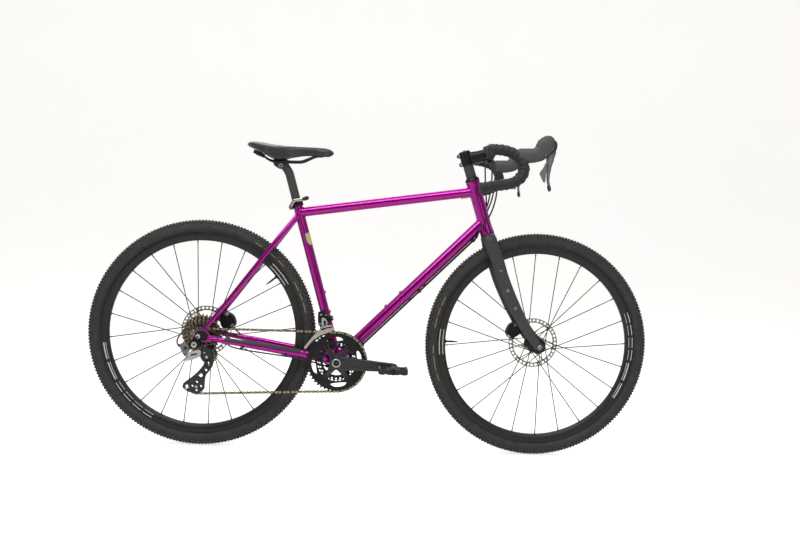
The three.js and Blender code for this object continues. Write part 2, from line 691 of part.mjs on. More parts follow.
function crankArm(side, sign) {
  const y = side * 68;
  const boss = rod(onCrank(0, side * 60), onCrank(0, side * 74), 21, 16);
  const sections = [[0, 0, 17, 6.5], [70, 0, 15, 6.5], [150, 2, 12.5, 6], [175, 2, 13, 6], [186, 2, 8, 5]];
  const arm = blade(sections.map(([distance, aside]) => onCrank(sign * distance, y + side * aside)),
    sections.map(([, , depth, width]) => [depth, width]), 10);
  const pedalEye = sign * CRANK_LENGTH;
  const spindle = rod(onCrank(pedalEye, side * 66), onCrank(pedalEye, side * PEDAL_END), 6.5, 10);
  return join(boss, arm, spindle);
}

function spiderArm(angle) {
  const middle = V(BB_X + 30 * Math.cos(angle), -55.5, BB_Z + 30 * Math.sin(angle));
  return block(middle.x, middle.y, middle.z, 66, 6.6, 20, THREE.MathUtils.radToDeg(angle));
}

const SPIDER_ANGLES = [38, 128, 232, 322];

function rightCrank() {
  const spindle = rod(V(BB_X, -62, BB_Z), V(BB_X, 76, BB_Z), SPINDLE_RADIUS, 14);
  const hubBoss = rod(V(BB_X, -62, BB_Z), V(BB_X, -46, BB_Z), 20, 16);
  const arms = SPIDER_ANGLES.map((angle) => spiderArm(radians(angle + CRANK_ANGLE)));
  return join(crankArm(-1, 1), spindle, hubBoss, ...arms);
}

function leftCrank() {
  const bore = rod(V(BB_X, 50, BB_Z), V(BB_X, 90, BB_Z), SPINDLE_RADIUS + GAP, 14);
  return cut(crankArm(1, -1), bore);
}

function pedal(side, sign) {
  const middle = onCrank(sign * CRANK_LENGTH, side * 114);
  const body = block(middle.x, middle.y, middle.z, 90, 56, 15);
  const windows = [-1, 1].map((end) => block(middle.x + end * 26, middle.y, middle.z, 20, 34, 30));
  const beside = (distance) => V(middle.x, middle.y + side * distance, middle.z);
  const barrel = rod(beside(-30), beside(33), 11, 12);
  const bore = rod(beside(-60), beside(29), 6.9, 10);
  return cut(join(body, barrel), ...windows, bore);
}

// ---------- rear derailleur ----------

const HANGER_BOLT = V(-539, -79, 331);
const LINK_REAR = V(-561, -90, 320);
const LINK_FRONT = V(-507, -104, 298);
const GUIDE = V(GUIDE_X, SMALL_COG_Y, GUIDE_Z);
const TENSION = V(TENSION_X, SMALL_COG_Y, TENSION_Z);

function derailleurHanger() {
  const outline = [[-516, 352], [-519, 366], [-530, 371], [-541, 366], [-545, 352], [-548, 331],
    [-543, 323], [-535, 323], [-530, 331], [-521, 343]];
  const hole = circle(REAR_X, AXLE_Z, AXLE_RADIUS + GAP, 12);
  const boltHole = circle(HANGER_BOLT.x, HANGER_BOLT.z, 4.3, 8);
  return plate(outline, -82.5, -77.3, [hole, boltHole]);
}

function bKnuckle() {
  const bolt = rod(HANGER_BOLT.clone().setY(-90), HANGER_BOLT.clone().setY(-75), 4, 8);
  const places = [V(-533, -88, 333), V(-548, -88, 327), V(-566, -88, 317)];
  const body = blade(places, [[9, 4.5], [9, 4.5], [7, 4.5]], 8);
  const arm = rod(V(-562, -88, 321), V(-561, -95, 320), 6.5, 8);
  return join(bolt, body, arm);
}

const LINK_ALONG = LINK_FRONT.clone().sub(LINK_REAR).normalize();

function linkPlate() {
  const start = LINK_REAR.clone().addScaledVector(LINK_ALONG, 20);
  const end = LINK_FRONT.clone().addScaledVector(LINK_ALONG, -5);
  return blade([start, end], [[8, 3.5], [8, 3.5]], 8);
}

function pKnuckle() {
  const places = [V(-503, -95, 297), V(-496, -90, 297), V(-494, -80, 297)];
  const body = blade(places, [[12, 5], [15, 6], [14, 5]], 8);
  const barrel = rod(V(GUIDE_X, -88, GUIDE_Z), V(GUIDE_X, -72, GUIDE_Z), 13, 12);
  return join(body, barrel);
}

function cage() {
  const guideEnd = circle(GUIDE_X, GUIDE_Z, 13, 16);
  const outline = [[-484, 300], [-484, 262], [-494, 236], [-508, 214], [-508, 184], [-522, 176],
    [-548, 182], [-571, 198], [-560, 212], [-540, 226], [-516, 246], [-508, 270], [-510, 300]];
  const outer = join(plate(outline, -69, -66.5), plate(guideEnd, -69, -66.5));
  const inner = join(plate(outline, -54.5, -52), plate(guideEnd, -54.5, -52));
  const pivots = [GUIDE, TENSION].map((p) => rod(p.clone().setY(-68), p.clone().setY(-53), 4, 8));
  return join(outer, inner, ...pivots);
}

function pulley(place) {
  const outline = toothed(place.x, place.z, PULLEY_TEETH, 0);
  return plate(outline, place.y - 0.95, place.y + 0.95, [circle(place.x, place.z, 4.4, 8)]);
}

// ---------- front derailleur ----------

const FD_CLAMP = 132; // up the seat tube

function fdBody() {
  const ring = rod(onSeat(FD_CLAMP - 8), onSeat(FD_CLAMP + 8), SEAT_TUBE_RADIUS + 4);
  const housing = block(-150, -25, 415, 24, 22, 42, 16);
  const room = rod(onSeat(FD_CLAMP - 40), onSeat(FD_CLAMP + 60), SEAT_TUBE_RADIUS + GAP);
  return cut(join(ring, housing), room);
}

// Two curved plates over the big ring, one on each side of the chain, joined behind it.
function fdCage() {
  const band = (inner, outer) => {
    const points = [];
    for (let a = 92; a <= 158; a += 11) {
      points.push([BB_X + outer * Math.cos(radians(a)), BB_Z + outer * Math.sin(radians(a))]);
    }
    for (let a = 158; a >= 92; a -= 11) {
      points.push([BB_X + inner * Math.cos(radians(a)), BB_Z + inner * Math.sin(radians(a))]);
    }
    return points;
  };
  const outerPlate = plate(band(99.5, 112), -57, -55.6);
  const innerPlate = plate(band(88, 112), -45.8, -44.4);
  const bridge = block(-202, -50.7, 326.7, 7, 12.6, 7);
  const arm = block(-143, -50.7, 391, 16, 12.6, 11);
  return join(outerPlate, innerPlate, bridge, arm);
}

// ---------- seat ----------

const POST_HEAD = V(-300, 0, 899);

function seatpost() {
  const line = [onSeat(330), onSeat(420), onSeat(540), onSeat(596), V(-281, 0, 882), POST_HEAD];
  const shaft = bentBar(line, () => POST_RADIUS, 10, 14);
  const head = block(POST_HEAD.x - 2, 0, POST_HEAD.z + 2.5, 34, 36, 12);
  const lower = cut(join(shaft, head), ...[-1, 1].map((side) => (
    rod(V(-345, side * 22, 906), V(-240, side * 22, 906), 3.8, 8))));
  const top = block(-300, 0, 918, 80, 60, 20);
  return cut(lower, top);
}

function saddleOutline(x) {
  const t = (x + 407) / 268;
  const rear = 71 * Math.sqrt(Math.max(0, 1 - ((0.2 - t) / 0.215) ** 2));
  const waist = 20 + 51 * Math.exp(-(((t - 0.2) / 0.22) ** 2));
  const nose = 1 - Math.max(0, (t - 0.9) / 0.1) ** 2 * 0.62;
  return (t < 0.2 ? Math.max(rear, 14) : waist) * nose;
}

function saddleTop(x) {
  const t = (x + 407) / 268;
  return 951 + 11 * (1 - t / 0.3) ** 2 * (t < 0.3 ? 1 : 0) + 2 * Math.sin(Math.PI * t);
}

// The padded cover: a dome over the saddle's outline, its skirt deeper at the wings.
function saddleCover() {
  const rings = [];
  for (let i = 0; i <= 14; i += 1) {
    const x = -407 + (268 * i) / 14;
    const half = saddleOutline(x);
    const top = saddleTop(x);
    const skirt = 14 + 14 * Math.exp(-(((x + 320) / 60) ** 2)) - (i === 0 || i === 14 ? 8 : 0);
    rings.push([[0, 0], [0.6, -1.5], [0.92, -7], [1, -skirt], [0.85, -skirt - 1], [0, -skirt + 4],
      [-0.85, -skirt - 1], [-1, -skirt], [-0.92, -7], [-0.6, -1.5]]
      .map(([share, drop]) => V(x, share * half, top + drop)));
  }
  return loft(rings);
}

// The shell under the cover, with the two rails that the seatpost clamps.
function saddleBase() {
  const shell = [];
  for (const [x, z] of [[-385, 926], [-340, 918], [-290, 922], [-220, 928], [-160, 928]]) {
    const half = saddleOutline(x) * 0.8;
    const corners = [[1, 1], [1, -1.5], [-1, -1.5], [-1, 1]];
    shell.push(corners.map(([share, lift]) => V(x, share * half, z + lift)));
  }
  const rail = [V(-180, 9, 926), V(-208, 14, 920), V(-238, 20, 907), V(-260, 22, 905.5), V(-326, 22, 905.5),
    V(-345, 24, 911), V(-368, 30, 922)];
  const right = bentBar(rail, () => 3.4, 12, 6);
  return join(loft(shell), right, mirrored(right));
}

function seatClamp() {
  const low = onSeat(SEAT_TUBE_LENGTH - 13);
  const high = onSeat(SEAT_TUBE_LENGTH + 3);
  const ring = rod(low, high, 18.6, 16);
  const nut = onSeat(SEAT_TUBE_LENGTH - 5).addScaledVector(SEAT_FRONT, -22);
  const ears = block(nut.x, 0, nut.z, 14, 24, 13, 90 - SEAT_ANGLE);
  const bottom = onSeat(SEAT_TUBE_LENGTH - 20);
  const room = rod(bottom, onSeat(SEAT_TUBE_LENGTH + GAP), SEAT_TUBE_RADIUS + GAP);
  const postRoom = rod(bottom, onSeat(SEAT_TUBE_LENGTH + 20), POST_RADIUS + GAP);
  const slot = block(nut.x - 2, 0, nut.z, 30, 2, 30, 90 - SEAT_ANGLE);
  return cut(join(ring, ears), room, postRoom, slot);
}

const LEVER_CAM = onSeat(SEAT_TUBE_LENGTH - 5).addScaledVector(SEAT_FRONT, -22).setY(-20);

function seatClampLever() {
  const cam = rod(LEVER_CAM.clone().setY(-14.7), LEVER_CAM.clone().setY(-25.3), 5.3, 10);
  const places = [LEVER_CAM.clone().setY(-21), V(-252, -23.5, 785), V(-232, -24, 789), V(-216, -22, 794)];
  const arm = blade(places, [[4, 3], [3.5, 2.5], [3.5, 2.5], [6, 3.5]], 8);
  return join(cam, arm);
}

// ---------- cables fixed to the frame ----------

function downTubeCables() {
  const below = (distance, y) => BB.clone().addScaledVector(DOWN_TUBE_ALONG, distance)
    .addScaledVector(DOWN_TUBE_OUT, -(DOWN_TUBE_RADIUS + 4)).setY(y);
  const lines = [-8, 0, 8].map((y) => rod(below(30, y), below(588, y), 2.5, 5));
  const clips = [90, 340, 575].map((distance) => {
    const middle = below(distance, 0);
    return block(middle.x, 0, middle.z, 12, 24, 6.4, 45.3);
  });
  return join(...lines, ...clips);
}

// ---------- the assembly ----------

const bicycle = new THREE.Group();

function add(name, body, finish) {
  const { vertProperties, triVerts } = body.getMesh();
  const geometry = new THREE.BufferGeometry();
  geometry.setAttribute('position', new THREE.BufferAttribute(vertProperties, 3));
  geometry.setIndex(new THREE.BufferAttribute(triVerts, 1));
  const mesh = new THREE.Mesh(geometry, finish);
  mesh.name = name;
  bicycle.add(mesh);
}

add('frame', frame(), paint());
add('derailleur_hanger', derailleurHanger(), blackMetal());
add('headset_upper_cup', upperCup(), blackMetal());
add('bottom_bracket', bottomBracket(), blackMetal());
add('seat_clamp', seatClamp(), blackMetal());
add('seat_clamp_lever', seatClampLever(), steel());
add('seatpost', seatpost(), carbon());
add('saddle_base', saddleBase(), plastic());
add('saddle_cover', saddleCover(), plastic());
add('fd_body', fdBody(), blackMetal());
add('fd_cage', fdCage(), steel());
add('down_tube_cables', downTubeCables(), plastic());
add('chain', chain(), nickel());

add('fork', fork(), carbon());
add('headset_spacers', headsetSpacers(), greyMetal());
add('stem', stem(), blackMetal());
add('stem_faceplate', stemFaceplate(), blackMetal());
add('handlebar', handlebar(), blackMetal());
add('bar_tape_right', barTape(), rubber());
add('bar_tape_left', mirrored(barTape()), rubber());
for (const [side, flip] of [['right', (body) => body], ['left', mirrored]]) {
  add(`lever_bracket_${side}`, flip(leverBracket()), hoodRubber());
  add(`brake_lever_${side}`, flip(brakeLever()), greyMetal());
  add(`shift_paddle_${side}`, flip(shiftPaddle()), greyMetal());
}

add('front_caliper', caliper(CALIPER_FRONT, FRONT_CALIPER_PITCH), blackMetal());
add('front_pad_inner', brakePad(CALIPER_FRONT, -1, FRONT_CALIPER_PITCH), nickel());
add('front_pad_outer', brakePad(CALIPER_FRONT, 1, FRONT_CALIPER_PITCH), nickel());
add('front_brake_hose', frontBrakeHose(), plastic());
add('rear_caliper', caliper(CALIPER_REAR, REAR_CALIPER_PITCH), blackMetal());
add('rear_pad_inner', brakePad(CALIPER_REAR, -1, REAR_CALIPER_PITCH), nickel());
add('rear_pad_outer', brakePad(CALIPER_REAR, 1, REAR_CALIPER_PITCH), nickel());

for (const [end, x, flanges, halfWidth, rotorY, shoulder] of [
  ['front', FRONT_X, FRONT_FLANGES, FRONT_HALF_WIDTH, FRONT_ROTOR_Y, -40],
  ['rear', REAR_X, REAR_FLANGES, REAR_HALF_WIDTH, REAR_ROTOR_Y, -21]]) {
  add(`${end}_tyre`, tyre(x), rubber());
  add(`${end}_rim`, rim(x), blackMetal());
  add(`${end}_spokes_left`, spokes(x, flanges[0], FLANGE_RADIUS, radians(2.5)), blackMetal());
  add(`${end}_spokes_right`, spokes(x, flanges[1], FLANGE_RADIUS, radians(17.5)), blackMetal());
  add(`${end}_hub`, hub(x, halfWidth, flanges, rotorY, shoulder), blackMetal());
  add(`${end}_rotor`, rotor(x, rotorY), steel());
}
add('front_thru_axle', thruAxle(FRONT_X, -64, 66), blackMetal());
add('rear_thru_axle', thruAxle(REAR_X, -83, 77.4), blackMetal());

add('cassette', cassette(), nickel());
add('right_crank', rightCrank(), greyMetal());
add('left_crank', leftCrank(), greyMetal());
add('outer_chainring', chainring(BIG_RING_TEETH, BIG_RING_Y, 50), blackMetal());
add('inner_chainring', chainring(SMALL_RING_TEETH, SMALL_RING_Y, 36), blackMetal());
add('pedal_right', pedal(-1, 1), plastic());
add('pedal_left', pedal(1, -1), plastic());
add('rd_b_knuckle', bKnuckle(), blackMetal());
add('rd_link', linkPlate(), steel());
add('rd_p_knuckle', pKnuckle(), greyMetal());
add('rd_cage', cage(), blackMetal());
add('rd_guide_pulley', pulley(GUIDE), plastic());
add('rd_tension_pulley', pulley(TENSION), plastic());

export default bicycle;
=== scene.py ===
# The looks of a gravel bicycle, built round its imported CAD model.
# Shapes are written in millimetres, in the CAD frame: +X forwards, +Y the rider's left, +Z up.
from math import asin, atan2, copysign, cos, exp, hypot, pi, radians, sin, sqrt

import bmesh
import bpy
from mathutils import Matrix, Vector
from mathutils.geometry import tessellate_polygon


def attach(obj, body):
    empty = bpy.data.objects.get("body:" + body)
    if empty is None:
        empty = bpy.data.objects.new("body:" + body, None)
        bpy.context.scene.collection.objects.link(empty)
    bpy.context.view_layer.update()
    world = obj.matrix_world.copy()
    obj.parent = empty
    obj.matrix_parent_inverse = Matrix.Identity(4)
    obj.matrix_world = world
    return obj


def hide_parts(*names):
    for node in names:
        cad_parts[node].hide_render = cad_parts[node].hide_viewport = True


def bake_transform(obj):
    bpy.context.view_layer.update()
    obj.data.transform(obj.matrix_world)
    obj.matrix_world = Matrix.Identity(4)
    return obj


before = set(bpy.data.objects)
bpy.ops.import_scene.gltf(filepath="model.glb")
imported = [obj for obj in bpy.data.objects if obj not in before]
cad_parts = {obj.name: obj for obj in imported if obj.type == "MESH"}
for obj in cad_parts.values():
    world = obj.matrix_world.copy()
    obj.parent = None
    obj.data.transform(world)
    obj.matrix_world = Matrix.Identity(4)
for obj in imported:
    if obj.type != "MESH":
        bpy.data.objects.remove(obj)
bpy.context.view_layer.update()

MM = 0.001
TAU = 2 * pi

# ---------- driving dimensions, as in the CAD model ----------

AXLE_Z = 357.0
REAR_X, FRONT_X = -530.0, 530.0
BB_X, BB_Z = -104.0, 287.0
HEAD_FOOT_X, HEAD_FOOT_Z = 357.0, 708.0
SEAT_ANGLE, HEAD_ANGLE = radians(73.6), radians(71.5)
HEAD_LENGTH = 170.5
SPACER_TOP = HEAD_LENGTH + 53
STEM_HEIGHT = 42
STEM_TOP = SPACER_TOP + STEM_HEIGHT
HEAD_TUBE_R, TOP_TUBE_R, DOWN_TUBE_R, SEAT_TUBE_R, SHELL_R = 20.6, 15, 17.5, 14.8, 21
POST_R = 13.6
HOUSING_R, HOUSING_OUT = 2.5, -21.5  # the housings' radius, and where they lie off the down tube
CRANK_LENGTH = 175
CRANK_ANGLE = radians(-3)
CRANK_HALF_WIDTH = 68
CHAIN_PITCH = 12.7
ROLLER_SEAT = 4.05
COG_TEETH = [11, 12, 13, 14, 15, 17, 19, 21, 24, 27, 30]
COG_SPACING = 3.74
BIG_RING_TEETH, SMALL_RING_TEETH, PULLEY_TEETH = 46, 30, 11
SMALL_COG_Y, BIG_RING_Y, SMALL_RING_Y = -60.5, -50.5, -43.0
REAR_ROTOR_Y, FRONT_ROTOR_Y = 55.7, 40.0
SPOKES_A_SIDE = 12
SPOKE_LEAN = radians(60)
TREAD_BLOCKS = 108
SADDLE_REAR, SADDLE_LENGTH = -407, 268


def V(x, y, z):
    return Vector((x, y, z))


Y = V(0, 1, 0)
BB = V(BB_X, 0, BB_Z)
REAR_AXLE, FRONT_AXLE = V(REAR_X, 0, AXLE_Z), V(FRONT_X, 0, AXLE_Z)
GUIDE, TENSION = V(-497, 0, 297), V(-532, 0, 198)
HEAD_UP = V(-cos(HEAD_ANGLE), 0, sin(HEAD_ANGLE))
HEAD_FRONT = V(HEAD_UP.z, 0, -HEAD_UP.x)
SEAT_UP = V(-cos(SEAT_ANGLE), 0, sin(SEAT_ANGLE))
SEAT_FRONT = V(SEAT_UP.z, 0, -SEAT_UP.x)
CRANK_ALONG = V(cos(CRANK_ANGLE), 0, sin(CRANK_ANGLE))


def on_head(distance, forward=0.0, y=0.0):
    return V(HEAD_FOOT_X, y, HEAD_FOOT_Z) + HEAD_UP * distance + HEAD_FRONT * forward


def on_seat(distance, forward=0.0, y=0.0):
    return BB + SEAT_UP * distance + SEAT_FRONT * forward + V(0, y, 0)


def on_crank(distance, y):
    return BB + CRANK_ALONG * distance + V(0, y, 0)


def toward(angle, reach=1.0, y=0.0):
    """A step of reach at angle in the XZ plane, and of y beside it."""
    return V(reach * cos(angle), y, reach * sin(angle))


def polar(centre, reach, angle):
    """The (x, z) at reach and angle from centre."""
    return centre.x + reach * cos(angle), centre.z + reach * sin(angle)


def turns(count, offset=0.0):
    """Angles that share a whole turn evenly."""
    return [TAU * (k + offset) / count for k in range(count)]


def clamp(value):
    """value, held between 0 and 1."""
    return min(1.0, max(0.0, value))


def pitch_radius(teeth):
    return CHAIN_PITCH / (2 * sin(pi / teeth))


# ---------- shapes ----------


class Shape:
    """Points and faces in millimetres, gathered into one mesh."""

    def __init__(self):
        self.points = []
        self.faces = []

    def put(self, points, faces):
        base = len(self.points)
        self.points += [Vector(p) for p in points]
        self.faces += [[base + i for i in face] for face in faces]
        return self

    def add(self, other, matrix=None):
        points = [matrix @ p for p in other.points] if matrix else other.points
        return self.put(points, other.faces)

    def mirror(self):
        return Shape().put([V(p.x, -p.y, p.z) for p in self.points], [f[::-1] for f in self.faces])

    def loft(self, rings, looped=False, closed=True):
        """Joins rings of points. looped joins the last ring to the first, and closed each ring to itself."""
        count = len(rings[0])
        faces = []
        for i in range(len(rings) - (not looped)):
            here, there = i * count, ((i + 1) % len(rings)) * count
            for j in range(count - (not closed)):
                k = (j + 1) % count
                faces.append([here + j, there + j, there + k, here + k])
        if not looped:
            faces.append(list(range(count))[::-1])
            faces.append(list(range((len(rings) - 1) * count, len(rings) * count)))
        return self.put([p for ring in rings for p in ring], faces)

    def tube(self, path, radius, sides=16, looped=False, power=1.0):
        """A bar along path. radius is a number, or one number or (depth, width) pair per point."""
        sizes = radius if isinstance(radius, (list, tuple)) else [radius] * len(path)
        rings = []
        for i, (point, (across, up)) in enumerate(zip(path, frames_along(path, looped))):
            size = sizes[i] if isinstance(sizes[i], (list, tuple)) else (sizes[i], sizes[i])
            rings.append(oval(point, across, up, *size, sides, power))
        return self.loft(rings, looped)

    def blade(self, path, sizes, sides=20, power=1.0):
        """A bar along path with its width kept along Y. sizes lists (half depth, half width)."""
        return self.loft([oval(point, depth, width, *sizes[i], sides, power)
                          for i, (point, depth, width) in enumerate(blade_frames(path))])

    def curve(self, points, steps, radius, sides=14):
        """A round bar along a smooth curve through points."""
        return self.tube(smooth_path(points, steps), radius, sides)

    def sweep(self, points, steps, sizes, sides=20, power=1.0):
        """A blade along a smooth curve through points, with one size for each point."""
        return self.blade(*smooth_path(points, steps, sizes), sides, power)

    def turned(self, profile, centre, axis=Y, segments=48):
        """A body turned about axis. profile lists (radius, distance along axis)."""
        across, up = across_and_up(axis)
        rings = []
        for angle in turns(segments):
            out = across * cos(angle) + up * sin(angle)
            rings.append([centre + axis * h + out * max(r, 0.001) for r, h in profile])
        return self.loft(rings, looped=True, closed=profile[0][0] > 0.001)

    def plate(self, outline, low, high, holes=()):
        """A flat plate between two y values. The outline and its holes list (x, z)."""
        loops = [outline, *holes]
        flat = [V(x, z, 0) for loop in loops for x, z in loop]
        triangles = tessellate_polygon([[V(x, z, 0) for x, z in loop] for loop in loops])
        count = len(flat)
        points = [V(p.x, low, p.y) for p in flat] + [V(p.x, high, p.y) for p in flat]
        faces = [list(t) for t in triangles] + [[i + count for i in t][::-1] for t in triangles]
        start = 0
        for loop in loops:
            for j in range(len(loop)):
                a, b = start + j, start + (j + 1) % len(loop)
                faces.append([a, b, b + count, a + count])
            start += len(loop)
        return self.put(points, faces)

    def slab(self, outline, corner, low, high, holes=()):
        """A plate whose outline has rounded corners."""
        return self.plate(rounded(outline, corner), low, high, holes)

    def block(self, centre, size, along=V(1, 0, 0), up=V(0, 0, 1)):
        side = up.cross(along).normalized()
        corners = [
            centre + along * (size[0] / 2 * a) + side * (size[1] / 2 * b) + up * (size[2] / 2 * c)
            for a in (-1, 1) for b in (-1, 1) for c in (-1, 1)
        ]
        faces = [[0, 1, 3, 2], [4, 6, 7, 5], [0, 4, 5, 1], [2, 3, 7, 6], [0, 2, 6, 4], [1, 5, 7, 3]]
        return self.put(corners, faces)

    def rod(self, a, b, radius, sides=20):
        return self.tube([a, b], [radius, radius], sides)

    def bolt(self, centre, axis, radius, height, washer=0.0):
        """A round bolt head with a six-sided socket, standing on centre."""
        axis = axis.normalized()
        across, up = across_and_up(axis)
        rings = []
        if washer:
            rings += [(radius * 1.35, -0.4, 0), (radius * 1.35, washer, 0)]
        rings += [(radius, washer - 0.4, 0), (radius, height - 0.5, 0), (radius - 0.5, height, 0)]
        rings += [(radius * 0.6, height, 1), (radius * 0.6, height * 0.35, 1)]
        loops = []
        for size, lift, six in rings:
            loop = []
            for angle in turns(24):
                reach = size * (cos(pi / 6) / cos(angle % (pi / 3) - pi / 6) if six else 1)
                loop.append(centre + axis * lift + (across * cos(angle) + up * sin(angle)) * reach)
            loops.append(loop)
        return self.loft(loops)


def across_and_up(axis):
    guide = V(1, 0, 0) if abs(axis.y) > 0.7 else Y
    across = guide.cross(axis).normalized()
    return across, axis.cross(across).normalized()


def frames_along(path, looped=False):
    """Directions across a path that turn as little as they can."""
    count = len(path)
    frames = []
    across = None
    for i in range(count):
        if looped:
            along = (path[(i + 1) % count] - path[i - 1]).normalized()
        else:
            along = (path[min(i + 1, count - 1)] - path[max(i - 1, 0)]).normalized()
        if across is None:
            across = across_and_up(along)[0]
        else:
            across = (across - along * across.dot(along)).normalized()
        frames.append((across, along.cross(across)))
    return frames


def blade_frames(path):
    """Each point of path, with the direction across its depth and the one nearest to Y across its width."""
    for i, point in enumerate(path):
        along = (path[min(i + 1, len(path) - 1)] - path[max(i - 1, 0)]).normalized()
        width = (Y - along * along.y).normalized()
        yield point, width.cross(along), width


def squared(value, power):
    """A sine or cosine whose circle is pushed out towards a square, where power is under 1."""
    return copysign(abs(value) ** power, value)


def oval(centre, across, up, half_across, half_up, sides, power=1.0):
    return [centre + across * (half_across * squared(cos(t), power)) + up * (half_up * squared(sin(t), power))
            for t in turns(sides)]


def smooth_path(points, count, values=None):
    """Even steps along a smooth curve through points, with values carried along if given."""
    points = [Vector(p) for p in points]
    ends = [points[0] * 2 - points[1], *points, points[-1] * 2 - points[-2]]
    dense, marks = [], []
    for i in range(1, len(ends) - 2):
        p0, p1, p2, p3 = ends[i - 1:i + 3]
        t0 = 0.0
        t1 = t0 + max((p1 - p0).length, 1e-6) ** 0.5
        t2 = t1 + max((p2 - p1).length, 1e-6) ** 0.5
        t3 = t2 + max((p3 - p2).length, 1e-6) ** 0.5
        steps = 16
        for k in range(steps + (i == len(ends) - 3)):
            t = t1 + (t2 - t1) * k / steps
            a1 = p0 * ((t1 - t) / (t1 - t0)) + p1 * ((t - t0) / (t1 - t0))
            a2 = p1 * ((t2 - t) / (t2 - t1)) + p2 * ((t - t1) / (t2 - t1))
            a3 = p2 * ((t3 - t) / (t3 - t2)) + p3 * ((t - t2) / (t3 - t2))
            b1 = a1 * ((t2 - t) / (t2 - t0)) + a2 * ((t - t0) / (t2 - t0))
            b2 = a2 * ((t3 - t) / (t3 - t1)) + a3 * ((t - t1) / (t3 - t1))
            dense.append(b1 * ((t2 - t) / (t2 - t1)) + b2 * ((t - t1) / (t2 - t1)))
            marks.append(i - 1 + k / steps)
    lengths = [0.0]
    for a, b in zip(dense, dense[1:]):
        lengths.append(lengths[-1] + (b - a).length)
    path, carried = [], []
    j = 0
    for i in range(count + 1):
        target = lengths[-1] * i / count
        while j < len(lengths) - 2 and lengths[j + 1] < target:
            j += 1
        share = (target - lengths[j]) / max(lengths[j + 1] - lengths[j], 1e-9)
        path.append(dense[j].lerp(dense[j + 1], share))
        if values:
            mark = marks[j] + (marks[j + 1] - marks[j]) * share
            k = min(int(mark), len(values) - 2)
            blend = mark - k
            ease = blend * blend * (3 - 2 * blend)
            a, b = values[k], values[k + 1]
            if isinstance(a, (list, tuple)):
                carried.append(tuple(p + (q - p) * ease for p, q in zip(a, b)))
            else:
                carried.append(a + (b - a) * ease)
    return (path, carried) if values else path


def circle(x, z, radius, count=32):
    return [(x + radius * cos(t), z + radius * sin(t)) for t in turns(count)]


def rounded(outline, radius, steps=4):
    """The outline with its corners rounded."""
    result = []
    count = len(outline)
    for i in range(count):
        before, here, after = (Vector(outline[(i + k) % count]) for k in (-1, 0, 1))
        into, out = before - here, after - here
        reach = min(radius, into.length * 0.45, out.length * 0.45)
        start, end = here + into.normalized() * reach, here + out.normalized() * reach
        for k in range(steps + 1):
            t = k / steps
            point = start * (1 - t) ** 2 + here * (2 * t * (1 - t)) + end * t * t
            result.append((point.x, point.y))
    return result


# ---------- materials ----------


COAT_ROUGHNESS = 0.04


def add_node(tree, kind, **inputs):
    """A new shader node. Each input is linked if it is given a socket, and set if not."""
    node = tree.nodes.new("ShaderNode" + kind)
    for name, value in inputs.items():
        socket = node.inputs[name.replace("_", " ")]
        if isinstance(value, bpy.types.NodeSocket):
            tree.links.new(value, socket)
        else:
            socket.default_value = value
    return node


def surface(name, dark, light, roughness, metallic=0.0, grain=300, bump=0.10, bump_grain=3000, reach=0.02,
            coat=0.0, sheen=0.0, rough_spread=0.06, stretch=None, cells=False):
    """A procedural finish: two tones mixed by noise, roughness that varies, and a fine bump.
    grain and bump_grain are features per metre, reach is the bump's height in millimetres."""
    material = bpy.data.materials.new(name)
    material.use_nodes = True
    tree = material.node_tree
    shader = tree.nodes["Principled BSDF"]
    place = add_node(tree, "TexCoord").outputs["Object"]
    if stretch:
        place = add_node(tree, "Mapping", Scale=stretch, Vector=place).outputs["Vector"]

    def noise(scale, detail=4.0):
        return add_node(tree, "TexNoise", Scale=scale, Detail=detail, Vector=place).outputs["Fac"]

    ramp = add_node(tree, "ValToRGB", Fac=noise(grain))
    for element, position, tone in zip(ramp.color_ramp.elements, (0.3, 0.7), (dark, light)):
        element.position, element.color = position, (*tone, 1)
    tree.links.new(ramp.outputs["Color"], shader.inputs["Base Color"])
    spread = add_node(tree, "MapRange", To_Min=max(roughness - rough_spread, 0.02),
                      To_Max=min(roughness + rough_spread, 1.0), Value=noise(grain * 0.37, 6.0))
    tree.links.new(spread.outputs["Result"], shader.inputs["Roughness"])
    for socket, value in (("Metallic", metallic), ("Coat Weight", coat), ("Coat Roughness", COAT_ROUGHNESS),
                          ("Sheen Weight", sheen)):
        shader.inputs[socket].default_value = value
    if cells:
        relief = add_node(tree, "TexVoronoi", Scale=bump_grain, Vector=place).outputs["Distance"]
    else:
        relief = noise(bump_grain)
    bumps = add_node(tree, "Bump", Strength=bump, Distance=reach * MM, Height=relief)
    tree.links.new(bumps.outputs["Normal"], shader.inputs["Normal"])
    return material


PAINT = surface("magenta_paint", (0.36, 0.002, 0.235), (0.52, 0.005, 0.35), 0.27, 0.92,
                grain=5200, bump_grain=7000, reach=0.03, coat=0.7, rough_spread=0.05)
CARBON = surface("fork_carbon", (0.042, 0.041, 0.040), (0.060, 0.058, 0.056), 0.52, grain=260,
                 bump=0.12, bump_grain=2600, reach=0.03)
BLACK = surface("black_anodised", (0.010, 0.010, 0.011), (0.020, 0.020, 0.022), 0.38, 0.5,
                grain=700, bump_grain=5000)
RIM_BLACK = surface("rim_black", (0.016, 0.016, 0.016), (0.026, 0.026, 0.026), 0.42, 0.2,
                    grain=220, bump=0.08)
GREY = surface("crank_grey", (0.040, 0.040, 0.042), (0.062, 0.062, 0.064), 0.40, 0.6, grain=400,
               bump_grain=4200)
LEVER_GREY = surface("lever_grey", (0.17, 0.17, 0.172), (0.24, 0.24, 0.243), 0.38, 0.7, grain=500,
                     bump=0.08, bump_grain=4200)
SILVER = surface("silver_alloy", (0.50, 0.50, 0.50), (0.66, 0.66, 0.66), 0.24, 1.0, grain=600,
                 bump=0.08, stretch=(1, 1, 8))
